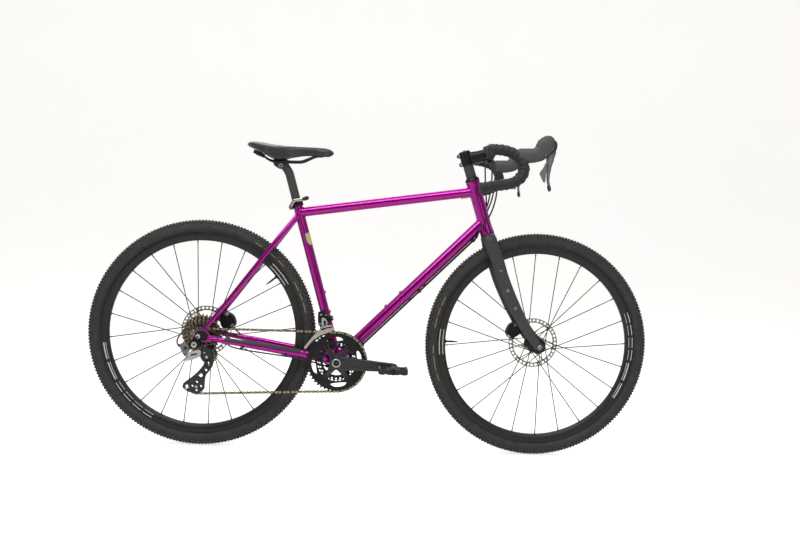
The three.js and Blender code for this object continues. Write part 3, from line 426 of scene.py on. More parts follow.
STEEL = surface("rotor_steel", (0.34, 0.31, 0.26), (0.50, 0.47, 0.41), 0.30, 1.0, grain=900,
                bump_grain=3500)
NICKEL = surface("nickel_steel", (0.24, 0.19, 0.125), (0.42, 0.35, 0.25), 0.32, 1.0, grain=500)
# Tyre knobs in a lighter tone than the casing's rubber: painted light on the knobs' tops.
LIT_KNOBS = surface("tyre_knobs_painted_light", (0.050, 0.049, 0.047), (0.082, 0.080, 0.076), 0.72, grain=260,
                bump=0.15, bump_grain=1600, reach=0.03)
# A brighter copy of nickel_steel for the chain's pins and rollers: painted highlight on the pin heads.
NICKEL_PAINTED_HIGHLIGHT = surface("chain_pins_painted_highlight", (0.36, 0.29, 0.19), (0.56, 0.47, 0.34), 0.24, 1.0,
                       grain=500)
# A darker copy of nickel_steel: painted shade on the recessed inner chain plates, on every other cog and on the
# front derailleur's inner cage plate.
SHADED_NICKEL = surface("nickel_painted_shade", (0.050, 0.040, 0.028), (0.11, 0.09, 0.062), 0.36, 1.0,
                      grain=500)
GREY_LIGHT = surface("light_grey", (0.20, 0.20, 0.205), (0.28, 0.28, 0.285), 0.36, 0.7,
                     grain=500, bump_grain=2600)
CAGE_STEEL = surface("cage_steel", (0.50, 0.475, 0.44), (0.66, 0.63, 0.58), 0.24, 1.0, bump_grain=2600)
# The casing between the knobs is darker than the knobs: painted shade between them.
TYRE = surface("tyre_tread", (0.018, 0.018, 0.017), (0.036, 0.035, 0.033), 0.82, grain=180,
               bump=0.35, bump_grain=1500, reach=0.15, rough_spread=0.1)
SIDEWALL = surface("tyre_sidewall", (0.026, 0.025, 0.024), (0.044, 0.040, 0.036), 0.66, grain=40,
                   bump=0.3, bump_grain=2600, reach=0.06, rough_spread=0.1, cells=True)
HOOD = surface("hood_rubber", (0.062, 0.061, 0.060), (0.088, 0.086, 0.084), 0.54, bump=0.35,
               bump_grain=1700, reach=0.10, cells=True)
TAPE = surface("bar_tape", (0.010, 0.010, 0.010), (0.022, 0.022, 0.022), 0.62, grain=420, bump=0.5,
               bump_grain=1300, reach=0.18, sheen=0.1, cells=True)
SKIN = surface("saddle_skin", (0.026, 0.026, 0.028), (0.044, 0.044, 0.047), 0.33, grain=260,
               bump=0.35, bump_grain=2200, reach=0.08, sheen=0.1, cells=True)
PLASTIC = surface("black_plastic", (0.014, 0.014, 0.014), (0.024, 0.024, 0.024), 0.5,
                  grain=500, bump=0.15, bump_grain=3200, reach=0.04)
HOUSING = surface("cable_housing", (0.012, 0.012, 0.012), (0.022, 0.022, 0.022), 0.36,
                  grain=900, bump=0.08, bump_grain=2000, reach=0.03)
GUARD = surface("stay_guard", (0.030, 0.042, 0.036), (0.045, 0.058, 0.050), 0.7, bump=0.3,
                bump_grain=1600, reach=0.08)
LABEL = surface("white_mark", (0.72, 0.72, 0.70), (0.80, 0.80, 0.78), 0.5, bump=0.05,
                bump_grain=2000)
TAN = surface("tan_mark", (0.30, 0.21, 0.13), (0.40, 0.29, 0.19), 0.6, bump=0.05,
              bump_grain=2000)
BADGE_GREEN = surface("badge_green", (0.12, 0.56, 0.36), (0.20, 0.66, 0.45), 0.4, bump=0.05,
                      bump_grain=2000)
BADGE_GOLD = surface("badge_gold", (0.72, 0.42, 0.05), (0.80, 0.56, 0.12), 0.4, grain=500,
                     bump=0.05, bump_grain=2000)
PAD = surface("pad_compound", (0.10, 0.075, 0.055), (0.20, 0.16, 0.12), 0.8, 0.2, grain=2000,
              bump=0.4, reach=0.06)


# ---------- pieces ----------


def piece(name, shape, finish, rides, bevel=0.0, angle=32.0, subdivide=0, stands_for=(),
          faces_by=None):
    """Makes a shape into an object that rides on a body; where rides names two bodies, the object stays put in
    the world. faces_by picks which finish each face has."""
    mesh = bpy.data.meshes.new(name)
    mesh.from_pydata([p * MM for p in shape.points], [], shape.faces)
    work = bmesh.new()
    work.from_mesh(mesh)
    bmesh.ops.remove_doubles(work, verts=work.verts, dist=0.002 * MM)
    bmesh.ops.recalc_face_normals(work, faces=work.faces)
    work.to_mesh(mesh)
    work.free()
    finishes = finish if isinstance(finish, list) else [finish]
    for each in finishes:
        mesh.materials.append(each)
    if faces_by:
        for polygon in mesh.polygons:
            polygon.material_index = faces_by(polygon.center / MM)
    mesh.shade_smooth()
    mesh.set_sharp_from_angle(angle=radians(angle))
    made = bpy.data.objects.new(name, mesh)
    bpy.context.scene.collection.objects.link(made)
    if bevel:
        edge = made.modifiers.new("edge", "BEVEL")
        edge.width, edge.segments = bevel * MM, 2
        edge.limit_method, edge.angle_limit = "ANGLE", radians(angle)
        edge.harden_normals = True
    if subdivide:
        extra = made.modifiers.new("round", "SUBSURF")
        extra.levels = extra.render_levels = subdivide
    if isinstance(rides, str):
        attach(made, rides)
    else:
        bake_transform(made)
    if stands_for:
        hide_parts(*stands_for)


# ---------- frame ----------

CHAINSTAY = [V(-112, 22, 289), V(-172, 32, 299.5), V(-235, 40, 309.5), V(-330, 52, 325),
             V(-430, 65, 340), V(-489, 74.5, 348)]
CHAINSTAY_SIZES = [(15, 8), (14.4, 8.5), (13.0, 8.5), (11.2, 8.5), (9.0, 7.6), (7.2, 6)]
SEATSTAY = [V(-246, 14, 736), V(-300, 33, 664), V(-360, 43, 582), V(-445, 60, 466),
            V(-509, 74.5, 381)]
SEATSTAY_SIZES = [8, 8.2, 8, 7.4, 6.4]
TOP_REAR, TOP_FRONT = on_seat(481), on_head(137)
DOWN_TOP = on_head(39)
DOWN_ALONG = (DOWN_TOP - BB).normalized()
DOWN_OUT = V(-DOWN_ALONG.z, 0, DOWN_ALONG.x)


def on_down(distance, out=0.0, y=0.0):
    return BB + DOWN_ALONG * distance + DOWN_OUT * out + V(0, y, 0)


def weld(shape, base, along, radius, other, other_along, other_radius, size=1.5):
    """A rippled weld bead where a tube that starts inside another tube comes out of it."""
    across, up = across_and_up(along)
    path, sizes = [], []
    for angle in turns(72):
        start = base + (across * cos(angle) + up * sin(angle)) * radius
        low, high = 0.0, 90.0
        for _ in range(24):
            middle = (low + high) / 2
            gap = start + along * middle - other
            gap -= other_along * gap.dot(other_along)
            if gap.length < other_radius:
                low = middle
            else:
                high = middle
        path.append(start + along * low)
        sizes.append(size * (1.0 + 0.22 * cos(angle * 24)))
    shape.tube(path, sizes, 8, looped=True)


def frame_tubes():
    shape = Shape()
    wide, near_top = 22.2, HEAD_LENGTH - 7.5
    shape.turned([(16.5, 0), (wide, 0), (wide, 7), (21.0, 12), (HEAD_TUBE_R, 30), (HEAD_TUBE_R, 140),
                  (21.0, 158), (wide, near_top), (wide, HEAD_LENGTH), (16.5, HEAD_LENGTH)], on_head(0), HEAD_UP)
    shape.rod(TOP_REAR, TOP_FRONT, TOP_TUBE_R, 40)
    shape.rod(on_down(6), DOWN_TOP, DOWN_TUBE_R, 44)
    shape.turned([(13.9, 512), (SEAT_TUBE_R, 512), (SEAT_TUBE_R, 8), (13.9, 8)], BB, SEAT_UP, 40)
    shape.turned([(18, -34), (20.2, -34), (SHELL_R, -33), (SHELL_R, 33), (20.2, 34), (18, 34)], BB, Y, 44)
    for flip in (False, True):
        stays = Shape().sweep(CHAINSTAY, 40, CHAINSTAY_SIZES)
        stays.tube(*smooth_path(SEATSTAY, 36, SEATSTAY_SIZES), 20)
        shape.add(stays.mirror() if flip else stays)
    for point in (V(-310, 36, 651), V(-158, 29, 296)):
        shape.rod(V(point.x, -point.y, point.z), point, 5.5)
    top_along = (TOP_FRONT - TOP_REAR).normalized()
    weld(shape, TOP_REAR, top_along, TOP_TUBE_R, BB, SEAT_UP, SEAT_TUBE_R)
    weld(shape, TOP_FRONT, -top_along, TOP_TUBE_R, on_head(0), HEAD_UP, HEAD_TUBE_R)
    weld(shape, DOWN_TOP, -DOWN_ALONG, DOWN_TUBE_R, on_head(0), HEAD_UP, HEAD_TUBE_R + 0.1)
    weld(shape, BB, DOWN_ALONG, DOWN_TUBE_R, BB, Y, SHELL_R)
    weld(shape, BB, SEAT_UP, SEAT_TUBE_R, BB, Y, SHELL_R)
    return shape


def bosses():
    painted, bolts = Shape(), Shape()
    places = [(on_down(d), DOWN_OUT, DOWN_TUBE_R) for d in (229, 293)]
    places += [(on_seat(d), SEAT_FRONT, SEAT_TUBE_R) for d in (155, 219)]
    places += [(on_down(d), -DOWN_OUT, DOWN_TUBE_R) for d in (300, 364)]
    for point, out, radius in places:
        top = radius + 2
        painted.turned([(0, radius - 3), (6.4, radius - 3), (5.6, top - 0.6), (5.0, top), (0, top)], point, out,
                       24)
        bolts.bolt(point + out * top, out, 4.2, 2.6)
    return painted, bolts


DROPOUT_LEFT = [(-543, 366), (-533, 375), (-517, 391), (-503, 389), (-497, 373), (-480, 355), (-482, 340),
                (-512, 337), (-532, 333), (-545, 340), (-548, 354)]
DROPOUT_RIGHT = [(-538, 372), (-527, 378), (-513, 379), (-502, 374), (-493, 360), (-466, 357), (-466, 342),
                 (-489, 345), (-497, 340), (-512, 338), (-531, 342), (-541, 354)]
AXLE_HOLE = circle(REAR_X, AXLE_Z, 6.4, 24)

piece("frame_tubes", frame_tubes(), PAINT, "frame", stands_for=["frame"])
BOSSES, BOSS_BOLTS = bosses()
piece("frame_bosses", BOSSES, PAINT, "frame", bevel=0.3)
piece("boss_bolts", BOSS_BOLTS, SILVER, "frame", bevel=0.15)
piece("dropout_left", Shape().slab(DROPOUT_LEFT, 6, 71, 77, [AXLE_HOLE, circle(-505, 361, 4.5, 16)]), PAINT,
      "frame", bevel=1.0)
piece("dropout_right", Shape().slab(DROPOUT_RIGHT, 6, -77, -71, [AXLE_HOLE]), PAINT, "frame", bevel=1.0)


def badge(width, height, lift):
    """A plain shield wrapped on the seat tube."""
    rings = []
    for k in range(25):
        share = -1 + 2 * k / 24
        half = width * (1 - max(0.0, -share) ** 2.2 * 0.72) * (0.86 if share > 0.86 else 1.0)
        ring = []
        for reach, order in ((SEAT_TUBE_R - 0.05 + lift, range(0, 11)), (SEAT_TUBE_R - 0.2, range(10, -1, -1))):
            for j in order:
                angle = radians(38) + half * (-1 + 2 * j / 10) / SEAT_TUBE_R
                ring.append(on_seat(393 + share * height) + (SEAT_FRONT * cos(angle) - Y * sin(angle)) * reach)
        rings.append(ring)
    return Shape().loft(rings)


piece("badge_border", badge(12.5, 19.5, 0.2), BADGE_GREEN, "frame", angle=60)
piece("badge_field", badge(9.0, 15.5, 0.4), BADGE_GOLD, "frame", angle=60)


CAM = on_seat(503, -22)
COLLAR = Shape().turned([(14.9, 0), (17.6, 0), (18.6, 1), (18.6, 14), (17.8, 15.4), (14.9, 16), (13.9, 16),
                         (13.9, 13.3), (14.9, 13)], on_seat(501), SEAT_UP)
for y in (-8.2, 8.2):
    COLLAR.block(CAM + V(0, y, 0) + SEAT_FRONT * 2, (14, 7, 13), SEAT_FRONT, SEAT_UP)
piece("seat_collar", COLLAR, BLACK, "frame", bevel=0.8, stands_for=["seat_clamp"])
NUT = Shape().bolt(CAM + V(0, 11.6, 0), Y, 5.2, 6, washer=1.2)
NUT.rod(CAM + V(0, -11, 0), CAM + V(0, 12, 0), 2.6)
piece("seat_collar_nut", NUT, SILVER, "frame", bevel=0.3)
LEVER = Shape()
LEVER.turned([(0, -14.8), (4.6, -14.8), (5.3, -15.6), (5.3, -24.4), (4.6, -25.2), (0, -25.2)], CAM, Y, 32)
LEVER.sweep([CAM + V(0, -21.5, 1), V(-256, -23.4, 783.5), V(-238, -24.4, 787.5), V(-226, -23.6, 791)], 16,
            [(5.2, 2.6), (4.4, 2.2), (4.2, 2.0), (4.6, 2.2)], 16, 0.8)
piece("seat_lever_arm", LEVER, SILVER, "seat_clamp_lever", stands_for=["seat_clamp_lever"])
KNOB = Shape().sweep([V(-231, -24, 789.5), V(-224, -23.4, 791.5), V(-216, -22.4, 794.4), V(-211, -21.4, 796.5)],
                     14, [(4.4, 3.0), (6.2, 4.0), (6.6, 4.2), (3.4, 2.4)], 18)
piece("seat_lever_knob", KNOB, PLASTIC, "seat_clamp_lever")

# ---------- bottom bracket and headset ----------

CUPS = Shape()
for side in (1, -1):
    CUPS.turned([(12.5, 34.2), (17.8, 34.2), (21.6, 35.2), (22.0, 36.4), (22.0, 41), (20.6, 43.4), (15, 44.4),
                 (12.5, 44.4)], BB, Y * side, 48)
    for angle in turns(16):
        spot = BB + toward(angle, 22.0, side * 38.7)
        CUPS.rod(spot - Y * 2.2, spot + Y * 2.2, 1.0, 8)
piece("bottom_bracket_cups", CUPS, BLACK, "frame", bevel=0.3, stands_for=["bottom_bracket"])

TOP_CUP = Shape().turned([(14.7, 0.4), (22.0, 0.4), (22.5, 1.4), (22.5, 5.0), (21.8, 6.0), (21.4, 6.8),
                          (19.6, 10.0), (17.2, 12.6), (14.7, 12.8)], on_head(HEAD_LENGTH), HEAD_UP, 56)
piece("headset_top_cup", TOP_CUP, BLACK, "frame", bevel=0.2, stands_for=["headset_upper_cup"])
LOW_RING = Shape().turned([(16.6, -0.2), (22.2, -0.2), (22.6, -1.4), (22.2, -3.0), (16.6, -3.0)], on_head(0),
                          HEAD_UP, 56)
piece("headset_low_ring", LOW_RING, BLACK, "frame")

SPACERS = Shape()
start = HEAD_LENGTH + 13.2
for top in (start + 5, start + 15, start + 25, SPACER_TOP - 0.3):
    SPACERS.turned([(14.6, start), (15.7, start), (16.2, start + 0.5), (16.2, top - 0.5), (15.7, top - 0.05),
                    (14.6, top - 0.05)], on_head(0), HEAD_UP, 48)
    start = top
piece("headset_spacer_stack", SPACERS, CARBON, "steering", stands_for=["headset_spacers"])

# ---------- fork ----------

LEG = [V(363, 29, 690), V(372, 38.5, 660), V(387, 45.5, 622), V(408.5, 50.5, 562), V(440, 54, 494),
       V(475, 57, 430), V(504, 58.5, 387), V(520, 58.3, 366), V(528, 57.5, 352)]
LEG_SIZES = [(20.5, 13), (21, 11.5), (20.4, 9.6), (19.4, 8.6), (18.4, 8), (16.8, 7.6), (14.2, 7.2), (12.8, 7),
             (10.4, 6.4)]


CROWN = [V(366, -36, 676), V(362, -29, 690), V(360, -15, 699.5), V(359.4, 0, 702), V(360, 15, 699.5),
         V(362, 29, 690), V(366, 36, 676)]
CROWN_SIZES = [(18, 12), (20.5, 12.5), (20.5, 10), (20.5, 9.5), (20.5, 10), (20.5, 12.5), (18, 12)]


def fork_blades():
    leg = Shape().sweep(LEG, 64, LEG_SIZES, 32, 0.72)
    shape = Shape().add(leg).add(leg.mirror())
    shape.tube(*smooth_path(CROWN, 36, CROWN_SIZES), 32)
    shape.turned([(0, -24), (19.6, -22), (21.2, -12), (22.0, -3.4), (18, -3.2), (0, -3.2)], on_head(0), HEAD_UP)
    shape.turned([(0, -4), (14.3, -4), (14.3, STEM_TOP - 3), (0, STEM_TOP - 3)], on_head(0), HEAD_UP, 32)
    for side in (1, -1):
        shape.turned([(6.3, -7.2), (11.4, -7.2), (12.2, -6), (12.2, 5.6), (11.2, 7), (6.3, 7)],
                     FRONT_AXLE + Y * (side * 57.6), Y, 32)
    return shape


piece("fork_blades", fork_blades(), CARBON, "steering", angle=40, stands_for=["fork"])
BOSS_RINGS, BOSS_HOLE_SHADES = Shape(), Shape()
LEG_LINE = smooth_path(LEG, 64)
for x, z in ((397, 589), (421, 531), (446, 476)):
    near = min(LEG_LINE, key=lambda p: (p.x - x) ** 2 + (p.z - z) ** 2)
    for side in (1, -1):
        spot = V(near.x, side * (near.y + 8.0), near.z)
        BOSS_RINGS.turned([(2.5, -1), (4.1, -1), (4.1, 0.7), (3.6, 1.1), (2.5, 1.1)], spot, Y * side, 28)
        # Black discs inside the boss rings: painted shade in place of the threaded holes.
        BOSS_HOLE_SHADES.turned([(0, -1), (2.5, -1), (2.5, 0.2), (0, 0.2)], spot, Y * side, 20)
piece("fork_boss_rings", BOSS_RINGS, SILVER, "steering")
piece("fork_boss_hole_shades", BOSS_HOLE_SHADES, PLASTIC, "steering")

# ---------- stem, handlebar and tape ----------

BAR_MIDDLE = V(348, 0, 956)
STEM_MIDDLE = SPACER_TOP + STEM_HEIGHT / 2
STEM_ALONG = (BAR_MIDDLE - on_head(STEM_MIDDLE)).normalized()
STEM_OVER = V(-STEM_ALONG.z, 0, STEM_ALONG.x)


def at_bar(along, over=0.0, y=0.0):
    return BAR_MIDDLE + STEM_ALONG * along + STEM_OVER * over + V(0, y, 0)


LUGS, CLAMP_EDGES = (-14, 14), (-22.5, 22.5)


def stem_body():
    shape = Shape()
    shape.turned([(14.6, SPACER_TOP), (17.8, SPACER_TOP), (18.6, SPACER_TOP + 1.2), (18.6, STEM_TOP - 1.2),
                  (17.8, STEM_TOP), (14.6, STEM_TOP)], on_head(0), HEAD_UP)
    shape.sweep([on_head(STEM_MIDDLE, 4), at_bar(-48), at_bar(-30), at_bar(-17), at_bar(-9)], 24,
                [(20.0, 15.5), (19.2, 15.4), (18.6, 15.8), (19.4, 18.5), (20.2, 20.6)], 32, 0.82)
    for distance in LUGS:
        shape.rod(on_head(STEM_MIDDLE + distance, -20, -9), on_head(STEM_MIDDLE + distance, -20, 9), 6.6, 24)
        shape.block(on_head(STEM_MIDDLE + distance, -14), (14, 17, 11), HEAD_FRONT, HEAD_UP)
    for over in CLAMP_EDGES:
        shape.block(at_bar(-5, over), (9, 38, 8.4), STEM_ALONG, STEM_OVER)
    return shape


piece("stem_body", stem_body(), BLACK, "steering", bevel=0.8, stands_for=["stem"])
FACE_ARC = radians(82)
arc = [(20.4 * cos(t), 20.4 * sin(t)) for t in (FACE_ARC * (k / 12 - 1) for k in range(25))]
arc += [(16.1 * cos(t), 16.1 * sin(t)) for t in (FACE_ARC * (1 - k / 12) for k in range(25))]
turn = Matrix(((STEM_ALONG.x, 0, -STEM_ALONG.z, BAR_MIDDLE.x), (0, 1, 0, 0),
               (STEM_ALONG.z, 0, STEM_ALONG.x, BAR_MIDDLE.z), (0, 0, 0, 1)))
FACE = Shape().add(Shape().plate(arc, -21, 21), turn)
for over in CLAMP_EDGES:
    FACE.block(at_bar(4.6, over), (8, 38, 8.4), STEM_ALONG, STEM_OVER)
piece("stem_face", FACE, BLACK, "steering", bevel=0.7, stands_for=["stem_faceplate"])
STEM_BOLTS = Shape()
for over in CLAMP_EDGES:
    for y in (-13, 13):
        STEM_BOLTS.bolt(at_bar(8.4, over, y), STEM_ALONG, 3.4, 3)
for distance in LUGS:
    STEM_BOLTS.bolt(on_head(STEM_MIDDLE + distance, -21, -9), -Y, 3.9, 4)
    STEM_BOLTS.rod(on_head(STEM_MIDDLE + distance, -21, 8.6), on_head(STEM_MIDDLE + distance, -21, 11), 4, 24)
piece("stem_bolts", STEM_BOLTS, SILVER, "steering", bevel=0.2)
CAP = Shape().turned([(0, -1), (17.4, -1), (17.8, 0.8), (16.4, 3.4), (5, 4.0), (0, 4.0)], on_head(STEM_TOP),
                     HEAD_UP)
piece("stem_cap", CAP, BLACK, "steering", bevel=0.2)
piece("stem_cap_bolt", Shape().bolt(on_head(STEM_TOP + 3.8), HEAD_UP, 4.4, 3.2), SILVER, "steering", bevel=0.2)

BAR_HALF = [V(348, 0, 956), V(347, -60, 956), V(338, -130, 955), V(329, -178, 954), V(337, -205, 953),
            V(368, -214, 950), V(399, -217, 938), V(418, -219, 916), V(423, -220, 895), V(414, -222, 873),
            V(390, -225, 857), V(350, -229, 848), V(297, -233, 838)]
BAR_PATH = smooth_path(BAR_HALF, 160)
BAR_SIZES = [15.9 - 4.0 * clamp((i - 9) / 12) for i in range(161)]
TAPE_START, TAPE_PITCH, TAPE_SLANT = 22, 15.6, 5.0


def tape(path):
    """Wound tape: each turn laps over the last, so its edge makes a small slanting step."""
    length = sum((b - a).length for a, b in zip(path, path[1:]))
    steps = int(length / 1.15)
    course = smooth_path(path, steps)
    rings = []
    for i, (point, (across, up)) in enumerate(zip(course, frames_along(course))):
        ring = []
        for angle in turns(40):
            share = ((length * i / steps + TAPE_SLANT * cos(angle)) / TAPE_PITCH - angle / TAU) % 1.0
            step = min(share / 0.84, (1.0 - share) / 0.16)
            reach = 14.6 + 2.5 * step ** 0.8 - 0.8 * exp(-((share - 0.9) / 0.05) ** 2)
            ring.append(point + across * (reach * cos(angle)) + up * (reach * sin(angle)))
        rings.append(ring)
    return Shape().loft(rings)


def lap_shade_line(path):
    """A thin dark line laid along each lap of the tape: painted shade where one turn overlaps the last."""
    course = smooth_path(path, 900)
    length, line = 0.0, []
    for i, (point, (across, up)) in enumerate(zip(course, frames_along(course))):
        length += (point - course[max(i - 1, 0)]).length
        angle = (TAU * (length / TAPE_PITCH - 0.97)) % TAU
        for _ in range(3):
            angle = TAU * ((length + TAPE_SLANT * cos(angle)) / TAPE_PITCH - 0.97)
        line.append(point + across * (15.3 * cos(angle)) + up * (15.3 * sin(angle)))
    return Shape().tube(line[4:-4], 0.9, 6)


BAR = Shape().tube(BAR_PATH, BAR_SIZES, 28)
BAR.add(BAR.mirror())
piece("handlebar_tube", BAR, BLACK, "steering", stands_for=["handlebar"])
TAPE_END = Shape().curve(BAR_PATH[TAPE_START - 1:TAPE_START + 2], 6, 16.0, 32)
PLUG = Shape().turned([(0, -4), (11.4, -4), (11.4, 0), (15.6, 0.2), (16.0, 1.6), (15.2, 3.4), (11, 4.6),
                       (0, 5.0)], BAR_PATH[-1], (BAR_PATH[-1] - BAR_PATH[-2]).normalized(), 36)
WOUND, LAP_SHADE_LINE = tape(BAR_PATH[TAPE_START:]), lap_shade_line(BAR_PATH[TAPE_START:])
for name, flip in (("right", False), ("left", True)):
    # The lap shade line is a thin dark tube: painted shade in the laps of the tape.
    for label, shape, finish, slot in (("tape", WOUND, TAPE, "bar_tape"),
                                       ("tape_lap_shade", LAP_SHADE_LINE, RIM_BLACK, "bar_tape"),
                                       ("tape_end", TAPE_END, PLASTIC, None),
                                       ("bar_plug", PLUG, PLASTIC, None)):
        piece(f"{label}_{name}", shape.mirror() if flip else shape, finish, "steering", angle=50,
              stands_for=[f"bar_tape_{name}"] if label == "tape" else ())

# ---------- hoods and levers ----------

HOOD_PATH = [V(400, -216, 935), V(414, -216, 936), V(432, -216.4, 938), V(452, -217, 940), V(467, -217.3, 947),
             V(478, -217.5, 959), V(485.5, -217.6, 972), V(490, -217.6, 984), V(492, -217.6, 992),
             V(493, -217.6, 997), V(493.2, -217.6, 999)]
HOOD_SIZES = [(19, 15), (22.5, 17.4), (21.6, 17), (20.8, 16.2), (23.0, 16.4), (26.4, 17.6), (27.2, 18.2),
              (22.6, 16.6), (16.4, 12.8), (9.0, 7.4), (2.0, 1.8)]


def hood():
    """The rubber hood: a rolled rear lip, shallow grip ribs on its flanks and a round horn."""
    path, sizes = smooth_path(HOOD_PATH, 84, HOOD_SIZES)
    rings = []
    for i, (point, depth, width) in enumerate(blade_frames(path)):
        lip = 1.3 * exp(-((i - 6) / 2.4) ** 2)
        crease = -1.1 * exp(-((i - 50) / 2.6) ** 2)
        ring = []
        for angle in turns(48):
            c, s = cos(angle), sin(angle)
            ribs = 0.0
            if 14 < i < 46:
                ribs = 0.16 * max(0.0, abs(s) - 0.55) / 0.45 * sin((i - 14) * TAU / 5.4)
            reach_a = sizes[i][0] + lip + crease * (c > 0) + ribs
            reach_b = sizes[i][1] + lip + crease * 0.6 + ribs
            ring.append(point + depth * (reach_a * squared(c, 0.86)) + width * (reach_b * squared(s, 0.86)))
        rings.append(ring)
    return Shape().loft(rings)


# The moulded block under the horn that carries the lever's pivot.
LEVER_HEAD = Shape().slab([(470, 938), (484, 934), (499, 944), (514, 958), (515.5, 976), (508, 986), (492, 984),
                           (476, 962)], 6, -229.5, -205.5)
BLADE_LINE = [V(500, -217.6, 976), V(501, -218, 964), V(499, -218.4, 950), V(497.5, -219.4, 930),
              V(495, -221.6, 905), V(493, -225, 882), V(493, -228.6, 864), V(496.5, -231.6, 850),
              V(498.5, -232.6, 843)]
BLADE_SIZES = [(8, 5.5), (13.5, 6.5), (15.2, 6.6), (11.4, 6.8), (6.8, 7.4), (4.6, 7.8), (3.6, 7.6), (3.8, 6.6),
               (3.6, 5)]
BRAKE_BLADE = Shape().sweep(BLADE_LINE, 60, BLADE_SIZES, 24, 0.8)
LEVER_TIP = Shape().sweep([V(493.2, -230.4, 853), V(495.2, -231.8, 847), V(496.6, -232.6, 841.5),
                           V(496.8, -232.9, 836.6)], 14, [(3.9, 6.9), (4.4, 6.6), (5.2, 6.0), (2.6, 3.2)])
SHIFT_BLADE = Shape().slab([(488.5, 919), (486.4, 908), (485.8, 890), (485, 872), (483, 860), (478, 864),
                            (466, 887), (468, 892), (477, 904), (482, 919)], 3, -231.5, -228)
SHIFT_BLADE.rod(V(488.5, -231, 919), V(488.5, -226, 919), 3.4)
BRAKE_AXLE = V(499, -218, 962)
LEVER_PIN = Shape().bolt(BRAKE_AXLE - Y * 11, -Y, 4.2, 2.6).bolt(BRAKE_AXLE + Y * 12, Y, 4.2, 2.6)
LEVER_PIN.bolt(V(482, -229, 944), -Y, 3.6, 2.0)
HOOD_SHAPE = hood()
for name, flip in (("right", False), ("left", True)):
    for label, shape, finish, rides, bevel, stands in (
        ("hood", HOOD_SHAPE, HOOD, "steering", 0.0, [f"lever_bracket_{name}"]),
        ("lever_head", LEVER_HEAD, PLASTIC, "steering", 1.6, ()),
        ("brake_blade", BRAKE_BLADE, LEVER_GREY, f"brake_lever_{name}", 0.0, [f"brake_lever_{name}"]),
        ("brake_tip", LEVER_TIP, PLASTIC, f"brake_lever_{name}", 0.0, ()),
        ("shift_blade", SHIFT_BLADE, LEVER_GREY, f"shift_paddle_{name}", 1.2, [f"shift_paddle_{name}"]),
        ("lever_pin", LEVER_PIN, SILVER, "steering", 0.2, ()),
    ):
        piece(f"{label}_{name}", shape.mirror() if flip else shape, finish, rides, bevel=bevel, angle=40,
              stands_for=stands)

# ---------- brakes ----------


def caliper(outline, hub, rotor_y, bolts, centre):
    """Two halves bridged over the rotor, each with a piston cap."""
    body, fixings = Shape(), Shape()
    shape = rounded(outline, 7)
    body.plate(shape, rotor_y + 4.6, rotor_y + 12.6)
    body.plate(shape, rotor_y - 14.6, rotor_y - 4.6)
    for share, low, high in ((0.80, 14.4, 16.4), (0.55, 16.2, 17.6)):
        inset = [(centre.x + (x - centre.x) * share, centre.z + (z - centre.z) * share) for x, z in shape]
        body.plate(inset, rotor_y - high, rotor_y - low)
    away, reach = (centre - hub).normalized(), (centre - hub).length
    bridge = hub + Y * (rotor_y - 1) + away * (84 + (reach - 66) * 0.4)
    body.block(bridge, (10, 26, 40), away, V(-away.z, 0, away.x))
    for side, face in ((-1, 14.6), (1, 12.6)):
        body.turned([(0, face - 1), (12.6, face - 1), (12.6, face + 1.4), (10.8, face + 2.2), (9.6, face + 1.4),
                     (0, face + 1.4)], centre + Y * rotor_y, Y * side, 40)
    for x, z in bolts:
        fixings.bolt(V(x, rotor_y - 14.4, z), -Y, 5.0, 4.6, washer=1.2)
        fixings.bolt(V(x, rotor_y + 12.4, z), Y, 4.0, 2.4)
    return body, fixings


FRONT_OUTLINE = [(463, 434), (474, 431), (488, 408), (487, 388), (472, 376), (455, 369), (440, 378), (438, 394),
                 (449, 415), (461, 422)]
REAR_OUTLINE = [(-482, 418), (-466, 420), (-447, 412), (-439, 401), (-434, 383), (-440, 370), (-458, 367),
                (-478, 369), (-485, 382), (-484, 405)]
for end, rides, outline, hub, y, bolts, centre in (
    ("front", "steering", FRONT_OUTLINE, FRONT_AXLE, FRONT_ROTOR_Y, [(466, 415), (447, 379)], V(465, 0, 397)),
    ("rear", "frame", REAR_OUTLINE, REAR_AXLE, REAR_ROTOR_Y, [(-464, 413), (-445, 378)], V(-461, 0, 392)),
):
    body, fixings = caliper(outline, hub, y, bolts, centre)
    piece(f"{end}_caliper_body", body, BLACK, rides, bevel=1.4, stands_for=[f"{end}_caliper"])
    piece(f"{end}_caliper_bolts", fixings, SILVER, rides, bevel=0.3)
    towards = (hub - centre).normalized()
    along = V(-towards.z, 0, towards.x)
    for side, label in ((-1, "inner"), (1, "outer")):
        spot = centre + Y * (y + side * 2.9) + towards * 4
        pad = Shape().block(spot, (20, 2.0, 26), towards, along)
        pad.block(spot - towards * 12 + Y * (side * 0.6), (10, 1.2, 9), towards, along)
        piece(f"{end}_brake_pad_{label}", pad, PAD, f"{end}_pad_{label}", bevel=0.4,
              stands_for=[f"{end}_pad_{label}"])
MOUNT = Shape()
MOUNT.curve([V(-492, 72, 389), V(-483, 66, 398), V(-476, 62, 412), V(-464, 60, 420)], 12, 6.0, 20)
MOUNT.curve([V(-484, 72, 352), V(-470, 67, 362), V(-458, 63, 371)], 10, 6.0, 20)
piece("rear_caliper_mount", MOUNT, PAINT, "frame", angle=40)
FLAT_MOUNT = Shape()
for points in ([V(452, 55, 466), V(462, 52, 446), V(466, 46, 428)],
               [V(500, 56, 394), V(488, 52, 392), V(478, 46, 388)]):
    FLAT_MOUNT.curve(points, 12, [(8, 6)] * 13, 20)
piece("front_caliper_mount", FLAT_MOUNT, BLACK, "steering", angle=40)

# ---------- wheels ----------

